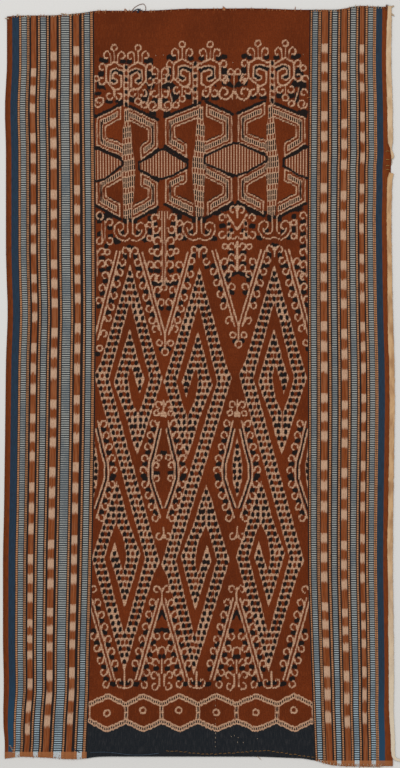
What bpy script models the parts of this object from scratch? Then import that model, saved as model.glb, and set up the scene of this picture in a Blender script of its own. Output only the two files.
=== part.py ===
"""A warp-ikat skirt cloth lying flat: one woven length with turned hems, and a torn edging tape in two lengths.

The cloth lies in the XY plane with its warp along Y, and its underside is at Z = 0. Sizes here are in
millimetres, measured from the middle of the cloth, and become metres where the points are placed.
"""
import math
from collections import namedtuple

import bmesh
import bpy
from mathutils import Vector

MM = 0.001

# The cloth
CLOTH_THICKNESS = 1.2
HEM_THICKNESS = 2.4
HEM_DEPTH = 10.0
HEM_EDGE_THICKNESS = 1.8
HEM_ROUNDING = 1.2
FOOT = -530.0
HEAD = 530.0
HALF_WIDTH = 274.0
COLUMN_PITCH = 18.0
ROW_PITCH = 24.0
CLOSEST = 0.25
SWELL_HEIGHT = 0.2
SWELL_PITCH = Vector((150.0, 210.0))
SWELL_STARTS = 15.0
SWELL_FULL = 45.0

# The edging tape
TAPE_THICKNESS = 0.9
TAPE_GAP = 0.3
TAPE_SIDE_DROP = 0.25
TAPE_ROW_PITCH = 24.0
TAPE_RAMP_START = 7.0
TAPE_RAMP_END = 2.0

EdgePoint = namedtuple("EdgePoint", "along out")
TapeRow = namedtuple("TapeRow", "along width overhang")
TailRow = namedtuple("TailRow", "x y width lift")

# The left selvedge: y along the warp, x of the edge
LEFT_SELVEDGE = (
    EdgePoint(-545, -275.0), EdgePoint(-511, -276.9), EdgePoint(-477, -279.7), EdgePoint(-426, -278.3),
    EdgePoint(-375, -279.7), EdgePoint(-239, -279.7), EdgePoint(-187, -278.3), EdgePoint(-85, -276.9),
    EdgePoint(35, -275.5), EdgePoint(102, -272.6), EdgePoint(136, -274.1), EdgePoint(187, -275.5),
    EdgePoint(341, -275.5), EdgePoint(375, -276.9), EdgePoint(409, -276.7), EdgePoint(443, -274.1),
    EdgePoint(540, -274.1),
)

# The right selvedge, which bulges where the tape is torn away
RIGHT_SELVEDGE = (
    EdgePoint(-545, 273.0), EdgePoint(-519, 275.3), EdgePoint(-505, 275.3), EdgePoint(-470, 273.0),
    EdgePoint(-417, 273.8), EdgePoint(-328, 273.0), EdgePoint(-257, 271.9), EdgePoint(-186, 272.5),
    EdgePoint(-97, 273.9), EdgePoint(-26, 274.9), EdgePoint(27, 274.4), EdgePoint(98, 272.2),
    EdgePoint(151, 271.1), EdgePoint(240, 269.9), EdgePoint(291, 271.7), EdgePoint(302, 269.7),
    EdgePoint(309, 271.2), EdgePoint(325, 272.9), EdgePoint(342, 272.2), EdgePoint(400, 271.7),
    EdgePoint(451, 269.6), EdgePoint(540, 270.6),
)

# The turned ends: x across the cloth, y of the edge
HEAD_EDGE = (
    EdgePoint(-280, 521.0), EdgePoint(-274, 521.1), EdgePoint(-264, 523.3), EdgePoint(-206, 523.3),
    EdgePoint(-173, 526.2), EdgePoint(-156, 528.0), EdgePoint(-147, 530.2), EdgePoint(-71, 530.0),
    EdgePoint(-21, 532.9), EdgePoint(85, 533.5), EdgePoint(142, 531.4), EdgePoint(206, 531.6),
    EdgePoint(217, 536.2), EdgePoint(241, 537.2), EdgePoint(256, 535.6), EdgePoint(280, 536.0),
)
FOOT_EDGE = (
    EdgePoint(-280, -528.5), EdgePoint(-276, -532.0), EdgePoint(-273, -535.3), EdgePoint(-266, -528.7),
    EdgePoint(-221, -530.2), EdgePoint(-170, -533.9), EdgePoint(-160, -531.1), EdgePoint(-142, -529.0),
    EdgePoint(85, -529.2), EdgePoint(149, -531.8), EdgePoint(162, -533.2), EdgePoint(173, -538.2),
    EdgePoint(189, -542.4), EdgePoint(257, -543.9), EdgePoint(263, -542.4), EdgePoint(267, -536.8),
    EdgePoint(280, -535.3),
)

# Extra grid lines where an edge turns sharply
EXTRA_COLUMNS = (-273.0, -266.0, 166.0, 209.0, 263.0, 268.0)
EXTRA_ROWS = (342.0, 325.0, 309.0, 302.0, 291.0)

# The upper tape narrows to a torn neck and ends in a frayed leaf
UPPER_TAPE = (
    TapeRow(536.8, 5.7, 1.6), TapeRow(526, 5.8, 1.6), TapeRow(511, 6.6, 1.6), TapeRow(477, 7.1, 1.6),
    TapeRow(426, 7.7, 1.7), TapeRow(349.3, 7.4, 1.7), TapeRow(342.2, 6.6, 1.4), TapeRow(338, 4.2, 0.4),
    TapeRow(335.8, 2.4, -0.2), TapeRow(332.3, 2.6, 0.2), TapeRow(328, 3.6, 2.0), TapeRow(323.8, 4.2, 3.4),
    TapeRow(319.5, 1.8, 1.4),
)

# The lower tape starts with a slight flare below the tear
LOWER_TAPE = (
    TapeRow(299.5, 6.9, 4.6), TapeRow(291, 7.4, 2.2), TapeRow(275.5, 7.1, 1.6), TapeRow(240, 6.7, 1.6),
    TapeRow(169, 6.4, 1.6), TapeRow(98, 7.3, 1.6), TapeRow(62.5, 8.0, 1.7), TapeRow(27, 7.5, 1.6),
    TapeRow(-44, 7.1, 1.6), TapeRow(-115, 7.1, 1.6), TapeRow(-186, 7.1, 1.6), TapeRow(-221.5, 7.9, 1.7),
    TapeRow(-292.5, 6.8, 1.6), TapeRow(-346, 7.5, 1.6), TapeRow(-434.5, 7.2, 1.6), TapeRow(-470, 6.2, 1.6),
    TapeRow(-505, 5.7, 1.6), TapeRow(-519.7, 5.7, 1.6), TapeRow(-528.2, 4.6, 1.8),
)

# The loose tail of the lower tape turns outwards over the edge and down to the surface
TAIL = (
    TailRow(276.4, -531.6, 4.2, 2.7), TailRow(279.8, -533.4, 3.8, 1.3), TailRow(284.0, -534.3, 3.6, 0.2),
    TailRow(292.5, -535.3, 3.2, 0.0),
)

CLOTH_COLOUR = (0.13, 0.035, 0.012, 1.0)
TAPE_COLOUR = (0.55, 0.42, 0.28, 1.0)


def clear_scene():
    """Remove whatever the scene holds."""
    for item in list(bpy.data.objects):
        bpy.data.objects.remove(item, do_unlink=True)


def finish(name, colour, roughness):
    """A plain Principled material."""
    material = bpy.data.materials.new(name)
    material.use_nodes = True
    shader = material.node_tree.nodes["Principled BSDF"]
    shader.inputs["Base Color"].default_value = colour
    shader.inputs["Roughness"].default_value = roughness
    shader.inputs["Metallic"].default_value = 0.0
    return material


def follow(table, along):
    """The edge's place at one station, on straight lines between the rows of its table."""
    for near, far in zip(table, table[1:]):
        if along <= far.along:
            break
    share = (along - near.along) / (far.along - near.along)
    return near.out + (far.out - near.out) * min(max(share, 0.0), 1.0)


def between(rows, along, column):
    """One column of a tape table at a station, where the rows run down the cloth."""
    for near, far in zip(rows, rows[1:]):
        if along >= far.along:
            break
    share = (near.along - along) / (near.along - far.along)
    start, end = getattr(near, column), getattr(far, column)
    return start + (end - start) * min(max(share, 0.0), 1.0)


def stations(low, high, pitch, extra=()):
    """Evenly spaced stations from low to high, with extra ones in place of close neighbours."""
    steps = round((high - low) / pitch)
    even = [low + (high - low) * step / steps for step in range(steps + 1)]
    kept = [place for place in even if all(abs(place - other) > CLOSEST * pitch for other in extra)]
    return sorted(set(kept) | set(extra) | {low, high})


def hem_height(inwards):
    """Thickness at a distance inwards from a turned end."""
    if inwards < HEM_ROUNDING:
        return HEM_EDGE_THICKNESS + (HEM_THICKNESS - HEM_EDGE_THICKNESS) * inwards / HEM_ROUNDING
    if inwards < HEM_DEPTH:
        return HEM_THICKNESS
    return max(CLOTH_THICKNESS, HEM_THICKNESS - (inwards - HEM_DEPTH))


def swell(x, y):
    """The faint waves of the laid cloth, which die out towards its edges."""
    margin = min(HALF_WIDTH - abs(x), HEAD - HEM_DEPTH - abs(y))
    fade = min(max((margin - SWELL_STARTS) / (SWELL_FULL - SWELL_STARTS), 0.0), 1.0)
    wave = math.sin(math.tau * x / SWELL_PITCH.x + 0.6) * math.sin(math.tau * y / SWELL_PITCH.y)
    return SWELL_HEIGHT * fade * wave


def slab(name, columns, rows, upper, lower, flat_base):
    """A closed sheet: a grid, extruded, with each skin's points placed by a rule."""
    mesh = bpy.data.meshes.new(name)
    build = bmesh.new()
    bmesh.ops.create_grid(build, x_segments=columns - 1, y_segments=rows - 1, size=0.5)
    base = list(build.faces)
    raised = bmesh.ops.extrude_face_region(build, geom=base)["geom"]
    top = {item for item in raised if isinstance(item, bmesh.types.BMVert)}
    for vert in build.verts:
        column = round((vert.co.x + 0.5) * (columns - 1))
        row = round((vert.co.y + 0.5) * (rows - 1))
        vert.co = (upper if vert in top else lower)(column, row) * MM
    if flat_base:
        under = [face for face in build.faces if not any(vert in top for vert in face.verts)]
        bmesh.ops.dissolve_faces(build, faces=under)
    bmesh.ops.recalc_face_normals(build, faces=build.faces)
    build.to_mesh(mesh)
    build.free()
    return bpy.data.objects.new(name, mesh)


def make_cloth():
    """The woven length, with its uneven selvedges, turned ends and the tab at the lower left corner."""
    across = stations(-HALF_WIDTH, HALF_WIDTH, COLUMN_PITCH, EXTRA_COLUMNS)
    turned = (HEM_ROUNDING, HEM_DEPTH, HEM_DEPTH + HEM_THICKNESS - CLOTH_THICKNESS)
    hems = tuple(FOOT + step for step in turned) + tuple(HEAD - step for step in turned)
    along = stations(FOOT, HEAD, ROW_PITCH, EXTRA_ROWS + hems)

    def plan(column, row):
        foot = follow(FOOT_EDGE, across[column])
        head = follow(HEAD_EDGE, across[column])
        y = foot + (head - foot) * (along[row] - FOOT) / (HEAD - FOOT)
        share = (across[column] + HALF_WIDTH) / (2 * HALF_WIDTH)
        left, right = follow(LEFT_SELVEDGE, y), follow(RIGHT_SELVEDGE, y)
        return left + (right - left) * share, y

    def upper(column, row):
        x, y = plan(column, row)
        thickness = hem_height(min(along[row] - FOOT, HEAD - along[row]))
        return Vector((x, y, thickness + swell(x, y)))

    def lower(column, row):
        return Vector((*plan(column, row), 0.0))

    return slab("cloth", len(across), len(along), upper, lower, flat_base=True)


def tape_lift(x, y):
    """Height of the tape's underside: just clear of the cloth, rising over the turned ends."""
    inwards = min(y - follow(FOOT_EDGE, x), follow(HEAD_EDGE, x) - y)
    climb = (HEM_DEPTH + TAPE_RAMP_START - inwards) / (TAPE_RAMP_START - TAPE_RAMP_END)
    climb = min(max(climb, 0.0), 1.0)
    return CLOTH_THICKNESS + TAPE_GAP + (HEM_THICKNESS - CLOTH_THICKNESS) * climb


def make_tape(name, rows, tail=()):
    """A length of tape along the right selvedge, and the free tail beyond it."""
    route = []
    for along in reversed(stations(rows[-1].along, rows[0].along, TAPE_ROW_PITCH, tuple(r.along for r in rows))):
        width = between(rows, along, "width")
        edge = follow(RIGHT_SELVEDGE, along) + between(rows, along, "overhang")
        x = edge - width / 2
        route.append(TailRow(x, along, width, tape_lift(x, along)))
    route.extend(tail)

    def place(column, row, rise):
        here = route[row]
        back, ahead = route[max(row - 1, 0)], route[min(row + 1, len(route) - 1)]
        heading = Vector((ahead.x - back.x, ahead.y - back.y, 0.0)).normalized()
        side = Vector((-heading.y, heading.x, 0.0))
        offset = (column - 1) * here.width / 2
        return Vector((here.x, here.y, here.lift + rise)) + side * offset

    def upper(column, row):
        drop = TAPE_SIDE_DROP if column != 1 else 0.0
        return place(column, row, TAPE_THICKNESS - drop)

    def lower(column, row):
        return place(column, row, 0.0)

    return slab(name, 3, len(route), upper, lower, flat_base=False)


def centre_on_base(pieces):
    """Move all pieces so that the middle of their common box is at X = Y = 0."""
    points = [vert.co for piece in pieces for vert in piece.data.vertices]
    middle = Vector((
        (min(p.x for p in points) + max(p.x for p in points)) / 2,
        (min(p.y for p in points) + max(p.y for p in points)) / 2,
        0.0,
    ))
    for piece in pieces:
        piece.location = -middle


def main():
    """Make the cloth and both tapes."""
    clear_scene()
    parts = bpy.data.collections.new("ikat_cloth")
    bpy.context.scene.collection.children.link(parts)
    cloth_finish = finish("ikat_cotton", CLOTH_COLOUR, 0.85)
    tape_finish = finish("cream_cotton", TAPE_COLOUR, 0.8)
    cloth = make_cloth()
    tapes = [make_tape("tape_upper", UPPER_TAPE), make_tape("tape_lower", LOWER_TAPE, TAIL)]
    cloth.data.materials.append(cloth_finish)
    for tape in tapes:
        tape.data.materials.append(tape_finish)
    pieces = [cloth, *tapes]
    for piece in pieces:
        parts.objects.link(piece)
    centre_on_base(pieces)


main()
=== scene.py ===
# %% [markdown]
# # A warp-ikat skirt cloth, laid flat
# The object is one loom width of handwoven cotton. Its warp was tied and dyed before weaving, so every
# figure lives in the warp threads and has soft, feathered ends. We could paint such a cloth with an
# image, but then it could never be changed. Here the figures are charted with a few drawing rules, and
# the shader turns the chart into yarn. We start from the packed frame, which gives the true sizes.

# %% The frame
import bpy
import math
import numpy as np
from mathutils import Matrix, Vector


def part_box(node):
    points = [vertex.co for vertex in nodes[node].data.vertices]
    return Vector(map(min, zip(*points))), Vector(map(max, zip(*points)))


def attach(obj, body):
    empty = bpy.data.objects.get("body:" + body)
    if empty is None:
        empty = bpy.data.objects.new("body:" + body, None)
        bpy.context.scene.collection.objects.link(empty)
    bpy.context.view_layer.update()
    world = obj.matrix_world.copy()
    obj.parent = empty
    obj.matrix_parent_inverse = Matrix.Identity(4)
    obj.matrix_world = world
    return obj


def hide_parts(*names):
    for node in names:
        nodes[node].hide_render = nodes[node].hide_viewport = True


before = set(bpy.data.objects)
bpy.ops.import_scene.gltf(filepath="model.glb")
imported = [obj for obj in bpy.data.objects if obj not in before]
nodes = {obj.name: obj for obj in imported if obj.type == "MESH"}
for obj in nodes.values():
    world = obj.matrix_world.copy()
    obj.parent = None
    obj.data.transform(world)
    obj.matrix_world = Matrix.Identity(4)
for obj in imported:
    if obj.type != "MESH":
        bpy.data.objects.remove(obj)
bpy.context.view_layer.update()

# %% [markdown]
# A weaver plans a cloth on squared paper. Our chart is 400 squares wide and 768 long, and one square is
# 1.42 mm of cloth, about one bundle of tied warps. Square 0 is at the left selvedge's side and row 0 is
# at the head end. The cloth's own box, from the frame, and how far the cloth reaches left and down from
# the chart's middle say where the chart lies in the room.

# %% The chart's squares
SQUARE = 0.00142
CHART_LENGTH = 768
CHART_MIDDLE = (200, 384)
REACH_LEFT, REACH_DOWN = 0.2797, 0.5439
LEFTMOST_SQUARE = CHART_MIDDLE[0] - REACH_LEFT / SQUARE
LOWEST_ROW = CHART_MIDDLE[1] + REACH_DOWN / SQUARE
cloth_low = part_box("cloth")[0]


def to_room(squares, rows):
    """Chart squares and rows as metres in the room."""
    x = cloth_low[0] + (np.asarray(squares) - LEFTMOST_SQUARE) * SQUARE
    y = cloth_low[1] + (LOWEST_ROW - np.asarray(rows)) * SQUARE
    return x, y


def to_chart(x, y):
    """Metres in the room as chart squares and rows."""
    return (x - cloth_low[0]) / SQUARE + LEFTMOST_SQUARE, LOWEST_ROW - (y - cloth_low[1]) / SQUARE


print("chart's middle in the room:", to_room(*CHART_MIDDLE))

# %% [markdown]
# The cloth's outline is uneven: handwoven selvedges pull in and out, and the hems aren't straight. The
# frame's solid has that outline already, so we read it from there instead of drawing it twice.

# %% The outline, from the frame
solid = nodes["cloth"].data
corners = np.empty(len(solid.vertices) * 3)
solid.vertices.foreach_get("co", corners)
corners = corners.reshape(-1, 3)
ends = np.empty(len(solid.edges) * 2, int)
solid.edges.foreach_get("vertices", ends)
edge_ends = np.stack(to_chart(corners[:, 0], corners[:, 1]), axis=1)[ends.reshape(-1, 2)]


def rim(level_axis, furthest, levels):
    """Cuts the solid's edges at each level; gives the levels and how far out the solid reaches at each."""
    start = edge_ends[:, 0, level_axis]
    rise = edge_ends[:, 1, level_axis] - start
    out_start = edge_ends[:, 0, 1 - level_axis]
    out_rise = edge_ends[:, 1, 1 - level_axis] - out_start
    reach = []
    for level in levels:
        share = (level - start) / np.where(rise == 0, 1e9, rise)
        cut = (share >= 0) & (share <= 1) & (rise != 0)
        reach.append(furthest(out_start[cut] + out_rise[cut] * share[cut]))
    return np.asarray(levels, float), np.array(reach)


SELVEDGE_ROWS = range(22, 750, 8)
HEM_SQUARES = range(9, 389, 5)
LEFT_RIM = rim(1, np.min, SELVEDGE_ROWS)
RIGHT_RIM = rim(1, np.max, SELVEDGE_ROWS)
HEAD_RIM = rim(0, np.min, HEM_SQUARES)
FOOT_RIM = rim(0, np.max, HEM_SQUARES)
print("left rim from", round(LEFT_RIM[1].min(), 1), "to", round(LEFT_RIM[1].max(), 1), "squares")

# %% [markdown]
# The middle of the cloth, with its figures, is set off from the striped borders by two straight warps.
# They spread a little towards the foot. A loom place is a square's place across the warp, the same for
# one warp from head to foot, so a stripe that follows its loom place bends as the real warps bend.

# %% The warps' paths
LOOM_LEFT, LOOM_MIDDLE_LEFT, LOOM_MIDDLE_RIGHT, LOOM_RIGHT = 6.0, 94.0, 308.5, 390.6
ROWS_OF_PATHS = (12, 100, 200, 320, 420, 530, 580, 650, 700, 755)
MIDDLE_LEFT_PATH = (94.0, 94.5, 95.5, 96.0, 95.0, 93.0, 92.0, 90.0, 89.0, 87.5)
MIDDLE_RIGHT_PATH = (309.6, 308.6, 307.8, 307.8, 308.0, 307.8, 308.2, 310.5, 312.5, 315.5)
FOOT_PULL = 3.9
FOOT_PULL_ROWS = (692, 755)
PULLED_LOOMS, PULL_SHARES = (6, 18, 50, 94), (0, 1, 1, 0.25)


def warp_square(loom, row):
    """The chart square where a warp runs at a row."""
    stops = (
        np.interp(row, *LEFT_RIM),
        np.interp(row, ROWS_OF_PATHS, MIDDLE_LEFT_PATH),
        np.interp(row, ROWS_OF_PATHS, MIDDLE_RIGHT_PATH),
        np.interp(row, *RIGHT_RIM),
    )
    places = (LOOM_LEFT, LOOM_MIDDLE_LEFT, LOOM_MIDDLE_RIGHT, LOOM_RIGHT)
    square = np.full(np.shape(row), 0.0)
    for i in range(3):
        share = (loom - places[i]) / (places[i + 1] - places[i])
        inside = (share >= 0) & (share <= 1)
        square = np.where(inside, stops[i] + (stops[i + 1] - stops[i]) * share, square)
    pull = np.interp(row, FOOT_PULL_ROWS, (0, FOOT_PULL))
    return square - pull * np.interp(loom, PULLED_LOOMS, PULL_SHARES)


print("loom place 200 is at square", round(float(warp_square(200, 20)), 1), "at the head and",
      round(float(warp_square(200, 750)), 1), "at the foot")

# %% [markdown]
# The cloth is one grid of small squares, near the size of a chart square in the middle, so that it can
# carry the figures. The borders only have stripes, which the shader draws by loom place, so a few columns
# do there.

# %% The cloth's grid
MIDDLE_COLUMNS = 166
BORDER_COLUMNS = 9
PATTERN_START, PATTERN_END = 36, 740
PATTERN_ROWS = 514
PLAIN_ROWS = 7

looms = np.concatenate([
    np.linspace(LOOM_LEFT, LOOM_MIDDLE_LEFT, BORDER_COLUMNS, endpoint=False),
    np.linspace(LOOM_MIDDLE_LEFT, LOOM_MIDDLE_RIGHT, MIDDLE_COLUMNS, endpoint=False),
    np.linspace(LOOM_MIDDLE_RIGHT, LOOM_RIGHT, BORDER_COLUMNS + 1),
])
even_rows = np.concatenate([
    np.linspace(0, PATTERN_START, PLAIN_ROWS, endpoint=False),
    np.linspace(PATTERN_START, PATTERN_END, PATTERN_ROWS, endpoint=False),
    np.linspace(PATTERN_END, CHART_LENGTH, PLAIN_ROWS + 1),
])
head_at = np.interp(warp_square(looms, np.full(looms.shape, 20.0)), *HEAD_RIM)
foot_at = np.interp(warp_square(looms, np.full(looms.shape, 755.0)), *FOOT_RIM)
share_down = (even_rows / CHART_LENGTH)[:, None]
low_share = (PATTERN_START / CHART_LENGTH, PATTERN_END / CHART_LENGTH)
grid_row = np.where(
    share_down < low_share[0],
    head_at + (PATTERN_START - head_at) * share_down / low_share[0],
    np.where(
        share_down > low_share[1],
        PATTERN_END + (foot_at - PATTERN_END) * (share_down - low_share[1]) / (1 - low_share[1]),
        share_down * CHART_LENGTH,
    ),
)
grid_loom = np.broadcast_to(looms, grid_row.shape)
grid_square = warp_square(grid_loom, grid_row)
print("grid:", grid_row.shape, "quads:", (grid_row.shape[0] - 1) * (grid_row.shape[1] - 1))

# %% [markdown]
# Ikat's feathered edge comes from the tying: bundles of warps slip a little past each other before they
# are woven. We let each column of the grid slip by its own small, slowly changing amount before the chart
# is read.

# %% The slip of the warp bundles
SLIP = 0.42
SLIP_LENGTH = 46
SLIP_LIMIT = 0.9
rng = np.random.default_rng(7)
slip_knots = rng.normal(0, SLIP, (CHART_LENGTH // SLIP_LENGTH + 2, len(looms)))
knot_rows = np.arange(slip_knots.shape[0]) * SLIP_LENGTH
slip = np.stack([np.interp(even_rows, knot_rows, slip_knots[:, c]) for c in range(len(looms))], axis=1)
read_row = grid_row + np.clip(slip, -SLIP_LIMIT, SLIP_LIMIT)
print("largest slip:", round(float(np.abs(slip).max()), 2), "squares")

# %% [markdown]
# The chart keeps, for every point of the grid, how far it is from the nearest cream line and from the
# nearest dark patch, in squares, less than zero inside. Distances blend smoothly between points, so a
# line can be narrower than the grid's squares and still have a clean edge. Two more layers say where the
# shader shall break the cream up into dark dashes or into fine brown stripes, which are finer than the
# grid.

# %% The chart's layers and its first pen
FAR = 6.0
WARPS_LEAN = (3, 10)
CHART_LOOMS = (84, 322)
chart = {name: np.full(grid_row.shape, FAR) for name in ("cream", "dark", "dashes", "streaks")}


def window_round(low, high, margin=FAR):
    """The part of the grid that holds a box of the chart, with a margin, as far as the warps lean."""
    rows = slice(*np.searchsorted(even_rows, (low[1] - margin - 2, high[1] + margin + 2)))
    left = max(low[0] - margin - WARPS_LEAN[0], CHART_LOOMS[0])
    right = min(high[0] + margin + WARPS_LEAN[1], CHART_LOOMS[1])
    return rows, slice(*np.searchsorted(looms, (left, right)))


def lay(window, distance, colour):
    """Lays a shape on the chart: cream, navy or brown, or navy put under the cream or cleared from there."""
    cream, dark = chart["cream"][window], chart["dark"][window]
    if colour == "cream":
        np.minimum(cream, distance, out=cream)
    elif colour == "under":
        np.minimum(dark, distance, out=dark)
    elif colour == "clear":
        np.maximum(dark, -distance, out=dark)
    elif colour == "navy":
        np.maximum(cream, -distance, out=cream)
        np.minimum(dark, distance, out=dark)
    elif colour == "brown":
        np.maximum(cream, -distance, out=cream)
        np.maximum(dark, -distance, out=dark)
    else:
        layer = chart[colour][window]
        np.minimum(layer, distance, out=layer)


def distance_to_path(x, y, points):
    """How far each grid point is from a path of straight pieces."""
    nearest = np.full(x.shape, 99.0)
    for (ax, ay), (bx, by) in zip(points[:-1], points[1:]):
        length2 = max((bx - ax) ** 2 + (by - ay) ** 2, 1e-9)
        share = np.clip(((x - ax) * (bx - ax) + (y - ay) * (by - ay)) / length2, 0, 1)
        nearest = np.minimum(nearest, np.hypot(x - ax - share * (bx - ax), y - ay - share * (by - ay)))
    return nearest


def line(points, width=2.0, colour="cream"):
    """Draws a line of a width along a path."""
    points = np.asarray(points, float)
    window = window_round(points.min(0), points.max(0))
    x, y = grid_square[window], read_row[window]
    lay(window, distance_to_path(x, y, points) - width / 2, colour)


def upright(x, top, foot, width=2.0, colour="cream"):
    """Draws a line straight down the chart."""
    line([(x, top), (x, foot)], width, colour)


print("layers:", sorted(chart))

# %% [markdown]
# The pens come next. Areas and spots are filled, and arcs, hooks and rings are lines. Each pen works out
# its distances only in the part of the grid round it, which keeps the chart quick to draw.

# %% The pens for areas, spots and rings
RING_RADIUS = 2.6
RING_LINE = 1.9


def inside_area(x, y, points):
    """Whether each point is inside a closed outline."""
    inside = np.zeros(np.shape(x), bool)
    for (ax, ay), (bx, by) in zip(points, np.roll(points, -1, axis=0)):
        if ay != by:
            crosses = ((ay > y) != (by > y)) & (x < (bx - ax) * (y - ay) / (by - ay) + ax)
            inside ^= crosses
    return inside


def area(points, colour="cream", grow=0.0):
    """Fills a closed outline."""
    points = np.asarray(points, float)
    window = window_round(points.min(0), points.max(0))
    x, y = grid_square[window], read_row[window]
    away = distance_to_path(x, y, np.vstack([points, points[:1]]))
    lay(window, np.where(inside_area(x, y, points), -away, away) - grow, colour)


def spot(x0, y0, across, down, colour="cream"):
    """Fills a round-cornered spot."""
    window = window_round((x0 - across, y0 - down), (x0 + across, y0 + down))
    x, y = grid_square[window], read_row[window]
    scaled = (np.abs((x - x0) / across) ** 3 + np.abs((y - y0) / down) ** 3) ** (1 / 3)
    lay(window, (scaled - 1) * min(across, down), colour)


def arc(x, y, radius, start, sweep, steps=9):
    """Points on an arc. Angles are in degrees, 0 to the right and 90 down towards the foot."""
    angles = np.radians(np.linspace(start, start + sweep, steps))
    return np.stack([x + radius * np.cos(angles), y + radius * np.sin(angles)], axis=1)


def ring(x, y, radius=RING_RADIUS, width=RING_LINE):
    """A small closed ring, brown inside."""
    spot(x, y, radius, radius, "clear")
    line(arc(x, y, radius, 0, 360, 13), width)


def shifted(points, x, y, side=1):
    """Points of a motif, moved to a place on the chart and mirrored if side is -1."""
    return np.asarray(points, float) * (side, 1) + (x, y)


print("a ring is", round((2 * RING_RADIUS + RING_LINE) * SQUARE * 1000, 1), "mm wide")

# %% [markdown]
# Most small figures on the cloth end in a hook, which weavers draw as a stalk that curls in on itself.
# One function makes it: an arc whose radius shrinks as it turns, with a dark crescent under the curl,
# where the dyer laid a second colour.

# %% Hooks
HOOK_RADIUS = 3.3
HOOK_TALL = 1.18
HOOK_SWEEP = 285
HOOK_SHRINK = 0.34
CRESCENT_TALL = 4.2


def hook(x, y, start, turn=1, radius=HOOK_RADIUS, sweep=HOOK_SWEEP, width=1.95):
    """A hook round (x, y). start is the angle, in degrees, at which its stalk comes in; turn is 1 or -1."""
    spot(x, y, radius * 0.9, radius * HOOK_TALL * 0.9, "clear")
    angles = np.radians(start + turn * np.linspace(0, sweep, 11))
    radii = radius * (1 - HOOK_SHRINK * np.linspace(0, 1, 11) ** 2)
    line(np.stack([x + radii * np.cos(angles), y + radii * np.sin(angles) * HOOK_TALL], axis=1), width)


def crescent(x, y, tilt=0.0, size=1.4):
    """A short dark patch beside a hook."""
    dx, dy = size * math.cos(math.radians(tilt)), size * math.sin(math.radians(tilt))
    line([(x - dx / 2, y - dy / 2), (x + dx / 2, y + dy / 2)], CRESCENT_TALL, "under")


print("a hook is", round(2 * HOOK_RADIUS * HOOK_TALL, 1), "squares tall")

# %% [markdown]
# Nearly every figure is the same on both sides of its middle line, so we draw one half and then the
# other. A half's places are counted outwards and down from the figure's own middle, and its angles are
# given as they are on the right side.

# %% The two halves of a figure
def facing(side, angle=180):
    """An angle on the right side of a figure, or its mirror image on the left."""
    return angle if side > 0 else 180 - angle


class Half:
    """Pens for one side, 1 or -1, of a figure that hangs from (x, y)."""

    def __init__(self, x, y, side):
        self.x = x
        self.y = y
        self.side = side

    def at(self, out, down):
        """A place on this half, as a chart square and row."""
        return self.x + self.side * out, self.y + down

    def path(self, points):
        """A path on this half, in chart squares and rows."""
        return shifted(points, self.x, self.y, self.side)

    def line(self, points, width=2.0):
        """A cream line."""
        line(self.path(points), width)

    def ring(self, out, down, radius=RING_RADIUS, width=RING_LINE):
        """A small closed ring."""
        ring(*self.at(out, down), radius, width)

    def dark(self, out, down, across, tall):
        """A round-cornered dark patch, under the cream."""
        spot(*self.at(out, down), across, tall, "under")

    def crescent(self, out, down, size=1.4):
        """A lying dark crescent."""
        crescent(*self.at(out, down), 0, size)

    def hook(self, out, down, over=1, radius=HOOK_RADIUS, stalk=180):
        """A hook that grows outwards. over is 1 for a curl over the top and -1 for one that hangs."""
        hook(*self.at(out, down), facing(self.side, stalk), self.side * over, radius)


def halves(x, y, sides=(-1, 1)):
    """Both halves of a figure, or the one that shows."""
    return [Half(x, y, side) for side in sides]


print("half a figure's pens:", [name for name in vars(Half) if name[0] != "_"])

# %% [markdown]
# Near the foot runs a row of six lying hexagons, each with a ring in it. Their frame is two cream lines
# with dark dashes between them. It zigzags between high and low points, which sit on the cells' middles
# and edges.

# %% The hexagon border
CELL_EDGES = (90.0, 126.0, 161.7, 198.0, 236.5, 277.0, 312.5)
RING_ROWS = (713.0, 710.3, 710.3, 712.6, 712.4, 710.3)
FRAME_PEAK, FRAME_DIP = 695.8, 704.5
FRAME_WIDTH = 5.6
FRAME_LINES = 3.4
ZIGZAG_BOTTOM = (729.5, 721.0)


def dashed_band(points):
    """A cream band with dark dashes along its middle."""
    line(points, FRAME_WIDTH)
    line(points, FRAME_WIDTH - FRAME_LINES, "dashes")


def zigzag(peak, dip):
    """The frame's path over all cells, from edge to edge."""
    points = [(CELL_EDGES[0], dip)]
    for left, right in zip(CELL_EDGES[:-1], CELL_EDGES[1:]):
        points += [((left + right) / 2 - 0.5, peak), (right, dip)]
    return points


hem_black = [(84, 722)] + zigzag(*ZIGZAG_BOTTOM)[1:-1] + [(318, 722), (318, 790), (84, 790)]
area(hem_black, "under")
for peak, dip in ((FRAME_PEAK, FRAME_DIP), ZIGZAG_BOTTOM):
    dashed_band(zigzag(peak, dip))
upright(CELL_EDGES[0], FRAME_DIP, ZIGZAG_BOTTOM[1], 1.8)
upright(CELL_EDGES[-1], FRAME_DIP, ZIGZAG_BOTTOM[1], 1.8)
for edge in CELL_EDGES[1:-1]:
    upright(edge, FRAME_DIP, ZIGZAG_BOTTOM[1], 4.6)
    upright(edge, 707, 711, 1.3, "navy")
    upright(edge, 714, 718, 1.3, "navy")
for left, right, row in zip(CELL_EDGES[:-1], CELL_EDGES[1:], RING_ROWS):
    ring((left + right) / 2 - 1.0, row, 3.1, 2.1)
print("hexagons:", len(RING_ROWS))

# %% [markdown]
# The great figures of the middle are tall lozenges filled with dots. Three of them stand side by side,
# each with a hooked tail inside. The outline is charted once, from its middle line, and set down three
# times, the second one mirrored. Each lozenge looks the same when the chart is turned upside down, so
# only half is given.

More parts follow.
